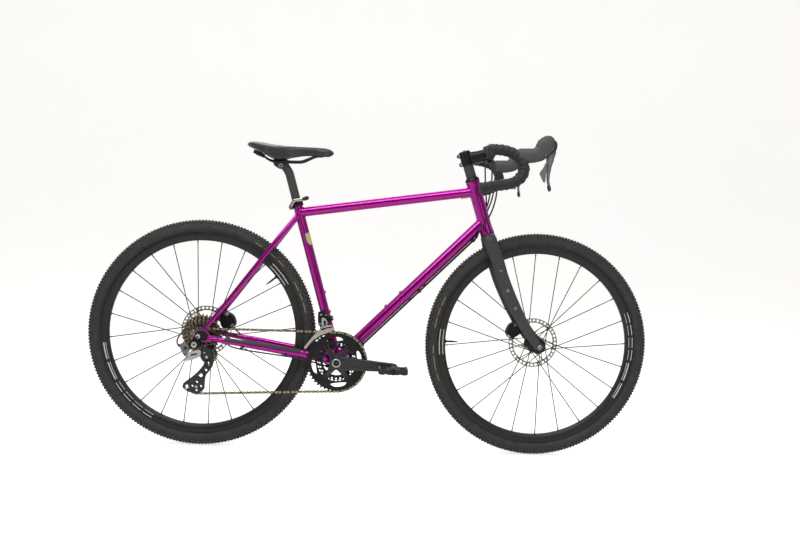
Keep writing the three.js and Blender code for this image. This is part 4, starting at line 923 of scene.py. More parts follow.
TYRE_HALF = [(353.8, 0), (353.3, 5), (351.4, 10), (347.6, 15.2), (342.4, 19.2), (336.4, 21.6), (330.6, 22.3),
             (325.4, 20.6), (321.4, 17.0), (318.6, 13.2), (317.4, 11.8), (314, 10.4), (310, 9.8)]
TYRE_PROFILE = TYRE_HALF + [(r, -y) for r, y in TYRE_HALF[:0:-1]]
SIDEWALL_RADIUS = 341  # the casing changes from sidewall to tread here
RIM_HALF = [(291.2, 5.0), (292.4, 8.0), (296.0, 11.2), (302, 13.0), (309, 13.7), (315.6, 13.6), (317, 12.9),
            (317, 11.9), (315.4, 11.2), (310.0, 10.6), (309.0, 9.2)]
RIM_PROFILE = [(r, -y) for r, y in RIM_HALF[::-1]] + RIM_HALF
BOX_FACES = [[3, 2, 1, 0], [4, 5, 6, 7], [0, 1, 5, 4], [1, 2, 6, 5], [2, 3, 7, 6], [3, 0, 4, 7]]
# Tread rows: distance off the middle, radius, lean in degrees, and a block's length, width and height.
TREAD_ROWS = [(0.0, 353.4, 0.0, 6.0, 4.0, 3.3), (5.6, 352.8, 7, 5.6, 3.4, 3.0),
              (10.6, 350.8, 24, 6.0, 3.6, 3.0), (15.4, 347.2, 46, 8.2, 4.4, 3.2),
              (19.0, 342.4, 62, 8.8, 3.8, 2.7)]


def tread(centre):
    """Rows of small blocks round the casing, taller and squarer at the shoulders."""
    shape = Shape()
    for row, (aside, radius, lean, length, width, height) in enumerate(TREAD_ROWS):
        tilt = radians(lean)
        for side in ((1, -1) if aside else (1,)):
            for angle in turns(TREAD_BLOCKS, 0.5 * (row % 2)):
                out = toward(angle)
                along = V(-out.z, 0, out.x)
                normal = out * cos(tilt) + Y * (side * sin(tilt))
                across = normal.cross(along)
                spot = centre + out * radius + Y * (side * aside)
                corners = []
                for lift, half_length, half_width in ((-0.8, length / 2, width / 2),
                                                      (height, length * 0.37, width * 0.37)):
                    corners += [spot + normal * lift + along * (a * half_length) + across * (b * half_width)
                                for a, b in ((-1, -1), (1, -1), (1, 1), (-1, 1))]
                shape.put(corners, BOX_FACES)
    return shape


# The space between two arms of a rotor, as (radius, angle).
WINDOW = [(65, 0.03), (66, 0.35), (66, 0.62), (65, 0.985), (52, 1.13), (40, 1.25), (31, 1.36), (30, 1.1),
          (30, 0.72), (40, 0.33), (52, 0.14)]


def rotor_plate(hub, y):
    """A disc with two sizes of vent round its braking band and six swept arms."""
    holes = []
    for k, angle in enumerate(turns(36)):
        wide = 3.4 if k % 2 else 4.3
        holes.append([polar(hub, 73.2 + wide * cos(t), angle + 4.6 * sin(t) / 73.2) for t in turns(12)])
    for start in turns(6):
        holes.append(rounded([polar(hub, radius, start + angle) for radius, angle in WINDOW], 3))
    holes.append(circle(hub.x, hub.z, 17.6, 48))
    return Shape().plate(circle(hub.x, hub.z, 80, 180), y - 0.9, y + 0.9, holes)


def hub_shell(hub, flanges, drive, half_width, rotor_y):
    """The hub's body: axle ends, two spoke flanges and the seat of the rotor."""
    left, right = flanges
    profile = [(6.4, -half_width + 0.4), (9.2, -half_width + 0.4), (9.8, -half_width + 1), (9.8, drive - 0.6)]
    profile += [(14, drive + 0.4), (22.0, right - 2.4), (24.6, right - 1.8), (24.6, right + 1.8),
                (21.4, right + 2.6)]
    profile += [(14.5, right + 6), (12.2, right + 11), (11.6, (left + right) / 2), (12.2, left - 11),
                (14.5, left - 6)]
    profile += [(21.4, left - 2.6), (24.6, left - 1.8), (24.6, left + 1.8), (21.4, left + 2.4),
                (17.4, left + 4)]
    profile += [(17.4, rotor_y + 1.6), (15.5, rotor_y + 3.2), (10.4, rotor_y + 3.6), (9.8, half_width - 1)]
    profile += [(9.2, half_width - 0.4), (6.4, half_width - 0.4)]
    return Shape().turned(profile, hub, Y, 56)


def wheel_mark(shape, hub, side, first, last, steps, section):
    """A thin mark on a wheel's flank between two angles in degrees. section lists (radius, y)."""
    shape.loft([[hub + toward(angle, radius, side * y) for radius, y in section]
                for angle in (radians(first + (last - first) * i / steps) for i in range(steps + 1))])


def rim_mark(shape, hub, side, first, last, inner=299.5, outer=312.5):
    """A plain mark that lies on the rim, whose flank is steeper inside a radius of 308."""
    lifts = ((inner, 0.0), (inner, 0.25), ((inner + outer) / 2, 0.3), (outer, 0.25), (outer, 0.0))
    section = [(radius, 12.35 + (radius - 299.5) * 0.1 + lift if radius < 308 else 13.62 + lift)
               for radius, lift in lifts]
    wheel_mark(shape, hub, side, first, last, max(2, int(abs(last - first) / 1.2)), section)


# Marks on a rim opposite its valve: first and last angle, inner and outer radius.
RIM_MARKS = [(-32, -22, 300, 308), (-20, -9, 300, 308), (-7.2, -1, 300, 312), (0.4, 6.6, 300, 312),
             (8, 14.2, 300, 312), (15.6, 21.8, 300, 312), (23.5, 35, 303, 307)]
TYRE_DASHES = [(-26, -20.5), (-19, -15), (-13.5, -8), (2, 6.5), (8, 16), (17.5, 22)]
DASH_SECTION = [(330.4, 22.2), (330.4, 22.52), (332.6, 22.42), (332.6, 22.1)]
VALVE_HALF_MARK = 7.5


def wheel(end, hub, flanges, drive, rotor_y, half_width, spoke_phase, valve_angle):
    """A whole wheel with its tyre, spokes, hub and rotor. flanges and drive are places along the axle."""
    rides = f"{end}_wheel"

    def flank(point):
        return 1 if hypot(point.x - hub.x, point.z - hub.z) < SIDEWALL_RADIUS else 0

    # The casing between the knobs is darker rubber as painted shade, and the knobs lighter rubber as painted
    # light on their tops.
    piece(f"{end}_tyre_casing", Shape().turned(TYRE_PROFILE, hub, Y, 180), [TYRE, SIDEWALL], rides,
          angle=60, stands_for=[f"{end}_tyre"], faces_by=flank)
    piece(f"{end}_tyre_tread", tread(hub), LIT_KNOBS, rides, angle=30)
    bead = Shape()
    for side in (1, -1):
        bead.turned([(318.6, side * 13.3), (319.6, side * 14.6), (320.8, side * 15.7), (319.4, side * 15.8),
                     (318.0, side * 14.4)], hub, Y, 144)
    piece(f"{end}_tyre_bead", bead, SIDEWALL, rides, angle=50)
    piece(f"{end}_rim_hoop", Shape().turned(RIM_PROFILE, hub, Y, 180), RIM_BLACK, rides, angle=40,
          stands_for=[f"{end}_rim"])
    nipples, shell = Shape(), hub_shell(hub, flanges, drive, half_width, rotor_y)
    for side, label, flange, first, eye_first in ((1, "left", flanges[0], spoke_phase, 2.5),
                                                  (-1, "right", flanges[1], spoke_phase + 15, 17.5)):
        spokes = Shape()
        for k, step in enumerate(turns(SPOKES_A_SIDE)):
            angle = radians(first) + step
            lean = SPOKE_LEAN * (1 if k % 2 else -1)
            hub_x, hub_z = polar(hub, 23.6, angle + lean)
            rim_x, rim_z = polar(hub, 293, angle)
            hub_end = V(hub_x, flange + side * (0.9 if k % 2 else -0.9), hub_z)
            rim_end = V(rim_x, side * 2.0, rim_z)
            along = (rim_end - hub_end).normalized()
            spokes.rod(hub_end, rim_end - along * 4, 1.4, 10)
            nipples.turned([(0, -11), (1.5, -11), (1.9, -10), (1.9, -2), (2.8, -1), (2.8, 3), (0, 3)], rim_end,
                           along, 12)
            out = toward(radians(eye_first) + step + lean)
            spot = hub + out * 22.4 + Y * flange
            shell.tube([spot - out * 3, spot + out * 1.4, spot + out * 3.4], [3.4, 3.4, 2.2], 12)
        piece(f"{end}_spoke_set_{label}", spokes, BLACK, rides, angle=60, stands_for=[f"{end}_spokes_{label}"])
    piece(f"{end}_nipples", nipples, BLACK, rides)
    piece(f"{end}_hub_shell", shell, BLACK, rides, bevel=0.25, stands_for=[f"{end}_hub"])
    piece(f"{end}_brake_rotor", rotor_plate(hub, rotor_y), STEEL, rides, stands_for=[f"{end}_rotor"])
    beside = hub + Y * rotor_y
    carrier = Shape().turned([(17.5, -3.0), (24, -2.6), (25, -1.0), (17.5, -1.0)], beside)
    carrier.turned([(11.0, 1.0), (20.4, 1.0), (21.0, 2.0), (20, 4.4), (12.5, 4.8), (11.0, 4.4)], beside)
    for angle in turns(24):
        spot = beside + toward(angle, 16.8, 4.0)
        carrier.rod(spot - Y, spot + Y, 0.9, 8)
    piece(f"{end}_rotor_lockring", carrier, BLACK, rides, bevel=0.3)
    caps, low = Shape(), half_width - 5
    for side in (1, -1):
        caps.turned([(9.0, low), (10.2, low), (10.4, low + 0.8), (10.4, low + 1.8), (9.0, low + 2.2)], hub,
                    Y * side, 40)
    piece(f"{end}_hub_rings", caps, SILVER, rides)
    inward = -toward(radians(valve_angle))
    seat = hub - inward * 291.5
    valve = Shape().turned([(0, -6), (3.0, -6), (3.0, 22), (2.6, 23), (2.6, 32), (1.6, 33), (1.6, 36),
                            (2.2, 36.6), (2.2, 39), (0, 39.6)], seat, inward, 20)
    valve.turned([(3.0, 0.2), (6.0, 0.2), (6.2, 2.4), (5.0, 3.6), (3.0, 3.8)], seat, inward, 24)
    piece(f"{end}_valve", valve, BLACK, rides, bevel=0.15)
    marks, dashes = Shape(), Shape()
    for side in (1, -1):
        rim_mark(marks, hub, side, valve_angle - VALVE_HALF_MARK, valve_angle + VALVE_HALF_MARK)
        for low, high, inner, outer in RIM_MARKS:
            rim_mark(marks, hub, side, valve_angle + 180 + low, valve_angle + 180 + high, inner, outer)
        for low, high in TYRE_DASHES:
            wheel_mark(dashes, hub, side, valve_angle + low, valve_angle + high, 8, DASH_SECTION)
    piece(f"{end}_rim_marks", marks, LABEL, rides, angle=50)
    piece(f"{end}_tyre_marks", dashes, TAN, rides, angle=50)


wheel("front", FRONT_AXLE, (24, -37), -40, FRONT_ROTOR_Y, 50, 2.5, 180)
wheel("rear", REAR_AXLE, (34, -17), -21, REAR_ROTOR_Y, 71, 4.8, 39.5)

for end, centre, rides, right, left in (("front", FRONT_AXLE, "steering", -64, 66),
                                        ("rear", REAR_AXLE, "frame", -83, 77.4)):
    axle = Shape().turned([(0, right), (5.2, right), (6.0, right + 0.8), (6.0, left), (8.6, left),
                           (9.0, left + 0.6), (9.0, left + 4.2), (8.2, left + 5), (3.6, left + 5),
                           (3.6, left + 1.5), (0, left + 1.5)], centre, Y, 36)
    piece(f"{end}_axle_pin", axle, BLACK, rides, bevel=0.2, stands_for=[f"{end}_thru_axle"])
    ring = Shape().turned([(2.6, 0), (6.0, 0), (6.2, 0.9), (5.2, 1.4), (4.0, 1.0), (2.6, 1.0)],
                          centre + Y * (right - 0.2), -Y, 32)
    piece(f"{end}_axle_ring", ring, SILVER, rides)

# ---------- cassette, rings and chain ----------


def toothed(hub, teeth, phase, tip=3.0):
    """The outline of a toothed wheel, with a rounded gap at the angle phase for a roller."""
    radius = pitch_radius(teeth)
    outline = []
    for step in turns(teeth):
        gap = phase + step
        seat = hub + toward(gap, radius)
        outline += [polar(seat, ROLLER_SEAT, gap + pi + radians(turn)) for turn in (62, 35, 12, -12, -35, -62)]
        outline += [polar(hub, radius + tip, gap + TAU * share / teeth) for share in (0.44, 0.56)]
    return outline


class Wheel:
    """A toothed wheel that the chain passes. turn is 1 where the chain goes round clockwise."""

    def __init__(self, hub, teeth, turn):
        self.hub, self.teeth, self.turn = hub, teeth, turn
        self.radius = pitch_radius(teeth)

    def at(self, angle):
        return self.hub + toward(angle, self.turn * self.radius)


CHAIN_WHEELS = [Wheel(REAR_AXLE, COG_TEETH[0], 1), Wheel(BB, BIG_RING_TEETH, 1),
                Wheel(TENSION, PULLEY_TEETH, 1), Wheel(GUIDE, PULLEY_TEETH, -1)]


def chain_y(x):
    share = clamp((x + 480) / 270)
    return SMALL_COG_Y + share * (BIG_RING_Y - SMALL_COG_Y)


def chain_pins():
    """Pin places round the whole chain: one per tooth gap on each wheel, evenly spaced between."""
    count = len(CHAIN_WHEELS)
    leaving = []
    for i, wheel in enumerate(CHAIN_WHEELS):
        after = CHAIN_WHEELS[(i + 1) % count]
        gap = after.hub - wheel.hub
        lean = asin((wheel.turn * wheel.radius - after.turn * after.radius) / gap.length)
        leaving.append(atan2(gap.z, gap.x) - lean + pi / 2)
    wraps = []
    for i, wheel in enumerate(CHAIN_WHEELS):
        arrive, leave = leaving[i - 1], leaving[i]
        sweep = (wheel.turn * (arrive - leave)) % TAU
        steps = int(sweep / (TAU / wheel.teeth))
        first = arrive - wheel.turn * (sweep - steps * TAU / wheel.teeth) / 2
        angles = [first - wheel.turn * TAU * k / wheel.teeth for k in range(steps + 1)]
        wheel.phase = angles[0] if wheel.turn > 0 else angles[0] + pi
        wraps.append([wheel.at(a) for a in angles])
    runs = []
    for i in range(count):
        start, end = wraps[i][-1], wraps[(i + 1) % count][0]
        runs.append([start, end, max(1, round((end - start).length / CHAIN_PITCH))])
    total = sum(len(w) - 1 for w in wraps) + sum(r[2] for r in runs)
    if total % 2:
        runs[1][2] -= 1
    pins = []
    for i in range(count):
        pins += [(p, i, "wrap") for p in wraps[i]]
        start, end, steps = runs[i]
        pins += [(start.lerp(end, k / steps), i, "run") for k in range(1, steps)]
    return pins


def chain_link(shape, rollers, a, b, outer):
    """One link between two pins: a pair of waisted plates, with the pins' rollers."""
    along = (b - a).normalized()
    up = V(-along.z, 0, along.x)
    outline = []
    for centre, first, waist in ((b, -112, 2.2), (a, 68, -2.2)):
        for k in range(9):
            angle = radians(first + 28 * k)
            outline.append(centre + along * (ROLLER_SEAT * cos(angle)) + up * (ROLLER_SEAT * sin(angle)))
        outline.append((a + b) / 2 + up * waist)
    near, far = (2.1, 2.75) if outer else (1.35, 2.0)
    for side in (1, -1):
        rings = []
        for y in (near, far):
            ring = []
            for p in outline:
                share = (p - a).dot(along) / (b - a).length
                middle = chain_y(a.x) + (chain_y(b.x) - chain_y(a.x)) * share
                ring.append(V(p.x, middle + side * y, p.z))
            rings.append(ring)
        shape.loft(rings)
    if outer:
        for p in (a, b):
            middle = p + Y * chain_y(p.x)
            rollers.rod(middle - Y * 3.2, middle + Y * 3.2, 2.5, 12)
            rollers.rod(middle - Y * 1.25, middle + Y * 1.25, 3.8, 14)


PINS = chain_pins()
COG_WHEEL, RING_WHEEL, TENSION_WHEEL, GUIDE_WHEEL = CHAIN_WHEELS


def chain_part(a, b, wheel, kind):
    """Which stretch of the chain a link belongs to."""
    x = (a.x + b.x) / 2
    if CHAIN_WHEELS[wheel] is COG_WHEEL:
        return "cog_wrap" if kind == "wrap" else ("upper_run" if x < -262 else "cage_rear")
    if CHAIN_WHEELS[wheel] is RING_WHEEL:
        if kind == "run":
            return "lower_front" if x > -372 else "lower_rear"
        for limit, part in ((-204, "cage_rear"), (-136, "cage_top"), (-104, "cage_front")):
            if a.z > BB_Z and x < limit:
                return part
        return "ring_wrap"
    if CHAIN_WHEELS[wheel] is TENSION_WHEEL:
        return "tension_wrap"
    return "guide_wrap" if kind == "wrap" else "guide_to_cog"


CHAIN_RIDES = {
    "cog_wrap": "frame",
    "upper_run": "frame",
    "cage_rear": ("frame", "fd_cage", V(-262, 0, 370), V(-206, 0, 370)),
    "cage_top": "fd_cage",
    "cage_front": ("frame", "fd_cage", V(-100, 0, 380), V(-135, 0, 380)),
    "ring_wrap": "frame",
    "lower_front": ("frame", "rd_p_knuckle", V(-216, 0, 190), V(-370, 0, 190)),
    "lower_rear": ("rd_p_knuckle", "rd_cage", V(-372, 0, 180), V(-505, 0, 180)),
    "tension_wrap": "rd_cage",
    "guide_wrap": ("rd_cage", "rd_p_knuckle", V(-500, 0, 268), V(-490, 0, 300)),
    "guide_to_cog": ("frame", "rd_p_knuckle", V(-530, 0, 346), V(-515, 0, 312)),
}
parts = {name: (Shape(), Shape(), Shape()) for name in CHAIN_RIDES}
for i, (a, wheel, kind) in enumerate(PINS):
    b, _, next_kind = PINS[(i + 1) % len(PINS)]
    if next_kind == "run":
        kind = "run"
    outer, inner, rollers = parts[chain_part(a, b, wheel, kind)]
    chain_link(inner if i % 2 else outer, rollers, a, b, i % 2 == 0)
# Outer chain plates are plain nickel. The inner plates are darker, as painted shade in the gaps between the
# outer plates, and the pins and rollers are brighter, as a painted highlight.
for name, shapes in parts.items():
    for label, shape, finish in zip(("outer", "inner", "rollers"), shapes, (NICKEL, SHADED_NICKEL, NICKEL_PAINTED_HIGHLIGHT)):
        if shape.points:
            piece(f"chain_{name}_{label}", shape, finish, CHAIN_RIDES[name],
                  stands_for=["chain"] if (name, label) == ("ring_wrap", "outer") else ())

COGS, SHADED_COGS, CARRIER = Shape(), Shape(), Shape()
for i, teeth in enumerate(COG_TEETH):
    y = SMALL_COG_Y + i * COG_SPACING
    phase = COG_WHEEL.phase + 0.17 * i
    holes = [circle(REAR_X, AXLE_Z, 16.4, 40)]
    if teeth >= 19:
        inner, outer = 24.0, pitch_radius(teeth) - 8.5
        window = [(inner, -0.32), (inner, 0.32), (outer, 0.40), (outer, 0), (outer, -0.40)]
        for middle in turns(6, 0.5):
            holes.append(rounded([polar(REAR_AXLE, r, phase + middle + t) for r, t in window], 3))
    # Every other cog is darker nickel: painted shade between neighbouring cogs.
    (SHADED_COGS if i % 2 else COGS).plate(toothed(REAR_AXLE, teeth, phase), y - 0.8, y + 0.8, holes)
    if i:
        spacer = 19.0 if teeth < 17 else 22.5
        CARRIER.turned([(16.4, y - 2.9), (spacer, y - 2.9), (spacer, y - 0.85), (16.4, y - 0.85)], REAR_AXLE, Y,
                       32)
piece("cassette_cogs", COGS, NICKEL, "cassette", bevel=0.2, stands_for=["cassette"])
piece("cassette_cogs_painted_shade", SHADED_COGS, SHADED_NICKEL, "cassette", bevel=0.2)
CARRIER.turned([(10.8, -62), (16.3, -62), (16.3, -22.2), (10.8, -22.2)], REAR_AXLE, Y, 40)
piece("cassette_carrier", CARRIER, BLACK, "cassette")
LOCKRING = Shape().turned([(11.6, -63.0), (15.4, -63.0), (17.3, -62.4), (17.3, -61.4), (11.6, -61.4)],
                          REAR_AXLE)
for angle in turns(12):
    spot = REAR_AXLE + toward(angle, 12.8, -63.1)
    LOCKRING.rod(spot - Y * 0.3, spot + Y, 0.9, 8)
piece("cassette_lockring", LOCKRING, SILVER, "cassette")

SPIDER_ANGLES = [radians(a) for a in (54, 124, 235, 306)]


def lens(middle, half, steps=10):
    """A window with a round outer edge and a flatter inner one, that meet in points."""
    window = []
    for k in range(steps + 1):
        share = -1 + 2 * k / steps
        window.append(polar(BB, 78.5 - 6.5 * share ** 4, middle + half * share))
    for k in range(1, steps):
        share = 1 - 2 * k / steps
        window.append(polar(BB, 65.5 + 5.5 * share ** 2, middle + half * share))
    return window


def off_arms(angle):
    """How far an angle is from the nearest arm of the spider."""
    return min(abs((angle - a + pi) % TAU - pi) for a in SPIDER_ANGLES)


def chainring(teeth, y, inner_radius, bolt_radius, windows, phase):
    """A toothed ring with tabs towards the spider's bolts and windows between them."""
    inner = []
    for angle in turns(144):
        nearest = off_arms(angle)
        tab = 1.0 if nearest < 0.10 else max(0.0, 1 - (nearest - 0.10) / 0.13)
        tab = tab * tab * (3 - 2 * tab)
        inner.append(polar(BB, inner_radius + (bolt_radius - 7.5 - inner_radius) * tab, angle))
    holes = [inner] + [lens(middle, 0.36) for middle in windows]
    if not windows:
        holes += [circle(*polar(BB, 53.5, angle), 2.9, 12) for angle in turns(26, 0.5) if off_arms(angle) > 0.3]
    holes += [circle(*polar(BB, bolt_radius, a), 2.6, 12) for a in SPIDER_ANGLES]
    return Shape().plate(toothed(BB, teeth, phase), y - 0.95, y + 0.95, holes)


BIG_BOLT_CIRCLE, SMALL_BOLT_CIRCLE = 57, 40
WINDOWS = [radians(a) for a in (96, 12, 277, 192)]
OUTER_RING = chainring(BIG_RING_TEETH, BIG_RING_Y, 60, BIG_BOLT_CIRCLE, WINDOWS, RING_WHEEL.phase)
piece("outer_chainring_teeth", OUTER_RING, BLACK, "crankset", bevel=0.25, stands_for=["outer_chainring"])
RIDGE = Shape().turned([(82.4, -1.7), (85.6, -1.7), (86.4, -0.9), (81.6, -0.9)], BB + Y * BIG_RING_Y, Y, 120)
piece("outer_chainring_ridge", RIDGE, BLACK, "crankset")
INNER_RING = chainring(SMALL_RING_TEETH, SMALL_RING_Y, 43, SMALL_BOLT_CIRCLE, [], 0.1)
piece("inner_chainring_teeth", INNER_RING, BLACK, "crankset", bevel=0.25, stands_for=["inner_chainring"])

# ---------- cranks and pedals ----------


# Sections of a crank arm: distance from the axle, distance out from its plane, half depth and half width.
ARM_SECTIONS = [(-16, 0.4, 14, 6.4), (0, 0.4, 20.6, 6.8), (22, 0.2, 21.2, 7.0), (50, 0, 20.0, 7.0),
                (95, 0.6, 17.4, 6.6), (140, 1.6, 15.4, 6.2), (166, 2, 14.8, 6.0), (180, 2, 13.8, 6.0),
                (187, 2, 10.6, 5.4), (190.5, 2, 5.0, 3.8)]
HUB_PROFILE = [(12.3, 59.6), (19.5, 59.6), (21.4, 60.8), (21.6, 66), (21.6, 71.6), (20.4, 74.2), (17.2, 75.0),
               (14.2, 74.6), (13.4, 73.0), (12.3, 73.0)]


def crank_arm(side):
    """The arm and its hub, with a shallow hollow along the arm's face and a rounded pedal eye."""
    points = [on_crank(-side * d, side * (CRANK_HALF_WIDTH + aside)) for d, aside, _, _ in ARM_SECTIONS]
    path, sizes = smooth_path(points, 56, [section[2:] for section in ARM_SECTIONS])
    rings = []
    for i, (point, depth, width) in enumerate(blade_frames(path)):
        hollow = 1.1 * exp(-((i / 56 - 0.48) / 0.24) ** 2)
        ring = []
        for angle in turns(40):
            c, s = squared(cos(angle), 0.55), squared(sin(angle), 0.55)
            dip = hollow * max(0.0, 1 - (c / 0.55) ** 2) * (1 if s * side > 0 else 0)
            ring.append(point + depth * (sizes[i][0] * c) + width * (sizes[i][1] * s - side * dip))
        rings.append(ring)
    return Shape().loft(rings).turned(HUB_PROFILE, BB, Y * side, 56)


RIGHT_ARM = crank_arm(-1)
# Each arm of the spider: the reach and y of its middle line, then its half width and half thickness.
SPIDER_LINE = [(8, -60.5), (24, -59.5), (42, -56.8), (56, -55), (62.6, -54.6)]
SPIDER_SIZES = [(16, 5.4), (11.0, 4.6), (8.0, 3.8), (8.6, 3.3), (6.0, 2.8)]
for angle in SPIDER_ANGLES:
    out = toward(angle)
    path, sizes = smooth_path([BB + out * reach + Y * y for reach, y in SPIDER_LINE], 20, SPIDER_SIZES)
    RIGHT_ARM.loft([oval(point, out.cross(Y), Y, *size, 24, 0.6) for point, size in zip(path, sizes)])
RIGHT_ARM.turned([(12.2, -61), (20, -61), (20.6, -60), (20.6, -48), (19, -46.2), (12.2, -46.2)], BB, Y, 40)
piece("right_crank_arm", RIGHT_ARM, GREY, "crankset", angle=38, stands_for=["right_crank"])
piece("left_crank_arm", crank_arm(1), GREY, "crankset", angle=38, stands_for=["left_crank"])
SPINDLE = Shape().turned([(6.5, -73), (12.1, -73), (12.1, 74), (6.5, 74)], BB, Y, 40)
RING_BOLTS = Shape()
for angle in SPIDER_ANGLES:
    RING_BOLTS.bolt(BB + toward(angle, BIG_BOLT_CIRCLE, -57.4), -Y, 5.4, 2.2)
    for reach, low, high, radius in ((BIG_BOLT_CIRCLE, -56, -48.2, 3.9), (SMALL_BOLT_CIRCLE, -55, -41.2, 3.6)):
        RING_BOLTS.rod(BB + toward(angle, reach, low), BB + toward(angle, reach, high), radius)
piece("chainring_bolts", RING_BOLTS, BLACK, "crankset", bevel=0.3)
piece("crank_spindle", SPINDLE, STEEL, "crankset")
for side, label in ((-1, "right"), (1, "left")):
    ring = Shape().turned([(9.6, 73.4), (13.2, 73.4), (13.3, 75.4), (12.4, 76.2), (10.4, 76.2), (9.6, 75.4)],
                          BB, Y * side, 48)
    piece(f"crank_cap_ring_{label}", ring, SILVER, "crankset")
    disc = Shape().turned([(0, 73.0), (9.5, 73.0), (9.5, 75.0), (8.6, 75.6), (5.0, 75.4), (4.6, 74.2),
                           (0, 74.2)], BB, Y * side, 40)
    piece(f"crank_cap_disc_{label}", disc, BLACK, "crankset")
    axle = Shape().turned([(0, 64.6), (6.9, 64.6), (6.9, 75.4), (8.4, 75.8), (8.4, 77.2), (6.0, 77.8),
                           (6.0, 80), (7.2, 81), (7.2, 84.2), (5.6, 85), (5.4, 141), (0, 141.4)],
                          on_crank(-side * CRANK_LENGTH, 0), Y * side, 32)
    piece(f"pedal_axle_{label}", axle, SILVER, "crankset", bevel=0.2)


PEDAL_OUTLINE = [(-45, -22), (-41, -28), (41, -28), (45, -22), (45, 22), (41, 28), (-41, 28), (-45, 22)]
PEDAL_PINS = [(-41, -20), (-41, -7), (-41, 7), (-41, 20), (41, -20), (41, -7), (41, 7), (41, 20), (-18, -25),
              (18, -25), (-18, 25), (18, 25)]


def pedal_body(middle, side):
    """A platform with four windows, scalloped edges and a barrel for its axle."""
    windows = []
    for sx in (-1, 1):
        for low, high in ((-21.5, -2.2), (2.2, 21.5)):
            corners = [(sx * 13.5, low), (sx * 36, low), (sx * 38, (low + high) / 2), (sx * 36, high),
                       (sx * 13.5, high)]
            windows.append(rounded(corners, 3.2))
    turn_flat = Matrix(((1, 0, 0, middle.x), (0, 0, 1, middle.y), (0, 1, 0, middle.z), (0, 0, 0, 1)))
    body = Shape().add(Shape().slab(PEDAL_OUTLINE, 5, -6.2, 6.2, windows), turn_flat)
    for sx in (-1, 1):
        for lift in (-1, 1):
            body.block(middle + V(sx * 41, 0, lift * 6.4), (6.4, 51, 2.6))
    across = [-44 + 88 * k / 60 for k in range(61)]
    wave = [(middle.x + x, middle.z - 7.2 - 2.6 * abs(sin((x + 44) * pi / 22))) for x in across]
    wave += [(middle.x + x, middle.z + 5.2 + 2.6 * abs(x / 44) ** 3) for x in across[::-1]]
    for y in (-28.4, 22.4):
        body.plate(wave, middle.y + y, middle.y + y + 6)
    body.turned([(6.0, -28), (10.2, -28), (10.9, -26), (10.9, 26), (9.6, 32.6), (6.0, 33)], middle, Y * -side,
                32)
    pins = Shape()
    for x, y in PEDAL_PINS:
        reach = V(0, 0, 10.4 if abs(x) > 30 else 8.8)
        pins.rod(middle + V(x, y, 0) - reach, middle + V(x, y, 0) + reach, 1.5, 12)
    return body, pins


for side, label in ((-1, "right"), (1, "left")):
    body, pins = pedal_body(on_crank(-side * CRANK_LENGTH, side * 114), side)
    piece(f"pedal_body_{label}", body, PLASTIC, f"pedal_{label}", bevel=0.7, stands_for=[f"pedal_{label}"])
    piece(f"pedal_pins_{label}", pins, SILVER, f"pedal_{label}", bevel=0.2)
    cap = Shape().turned([(0, 140.6), (6.2, 140.6), (6.6, 142), (5.6, 143.4), (0, 143.8)],
                         on_crank(-side * CRANK_LENGTH, 0), Y * side, 28)
    piece(f"pedal_cap_{label}", cap, BLACK, f"pedal_{label}")

# ---------- rear derailleur ----------

HANGER = rounded([(-542, 358), (-536, 369), (-523, 374.5), (-508, 371), (-499, 358), (-504, 343), (-519, 343),
                  (-530, 333), (-534, 322), (-544, 322), (-549, 331), (-547, 345)], 6)
piece("hanger_plate", Shape().plate(HANGER, -82.5, -77.3, [circle(REAR_X, AXLE_Z, 6.3, 28)]), BLACK, "frame",
      bevel=0.6, stands_for=["derailleur_hanger"])
BOLT = Shape().turned([(3.2, 0), (8.6, 0), (9.2, 0.8), (9.2, 3.4), (8.2, 4.4), (5.2, 4.6), (4.8, 3.2),
                       (3.2, 3.2)], V(-538, -91, 332), -Y, 36)
BOLT.turned([(4.6, 0), (7.0, 0), (7.4, 0.8), (6.6, 1.6), (4.6, 1.6)], V(-529, -82.4, 356.5), -Y, 36)
piece("hanger_bolts", BOLT, SILVER, "frame", bevel=0.15)
B_KNUCKLE = Shape()
B_KNUCKLE.slab([(-558, 335), (-542, 344), (-528, 345), (-521, 337), (-520, 323), (-545, 319), (-557, 319)], 6,
               -92, -83)
B_KNUCKLE.rod(V(-538, -84, 332), V(-538, -76.5, 332), 4.0, 20)
B_KNUCKLE.turned([(2.0, 0), (3.6, 0), (3.9, 2), (3.9, 8), (3.2, 10), (2.0, 10)], V(-577, -92, 325),
                 V(-9, 0, 5.5).normalized(), 24)
piece("rd_b_knuckle_body", B_KNUCKLE, BLACK, "frame", bevel=1.4, stands_for=["rd_b_knuckle"])
REAR_ARM = Shape().slab([(-578, 336), (-566, 337), (-555, 334), (-551, 323), (-553, 309), (-561, 294),
                         (-571, 307), (-578, 322)], 6, -100, -84)
piece("rd_rear_arm", REAR_ARM, GREY_LIGHT, "frame", bevel=1.8)
B_PIVOTS = Shape().bolt(V(-562, -99.6, 322), -Y, 5.2, 2.2).bolt(V(-563, -99.6, 302), -Y, 2.2, 1.4)
piece("rd_b_pivots", B_PIVOTS, GREY, "frame", bevel=0.2)
LINK_FACE = Shape().slab([(-558, 289), (-551, 308), (-547, 312), (-516, 320), (-512, 312), (-514, 302),
                          (-539, 291)], 4, -97.5, -92)
LINK_FACE.slab([(-566, 283), (-556, 283), (-540, 287), (-514, 299), (-514, 304), (-541, 295), (-558, 293)], 3,
               -99.5, -96)
# A black patch across the link plate: painted shade in place of its slot.
LINK_SLOT_SHADE = Shape().slab([(-547, 303), (-525, 309.5), (-524, 305), (-545, 298.5)], 2, -98.1, -96)
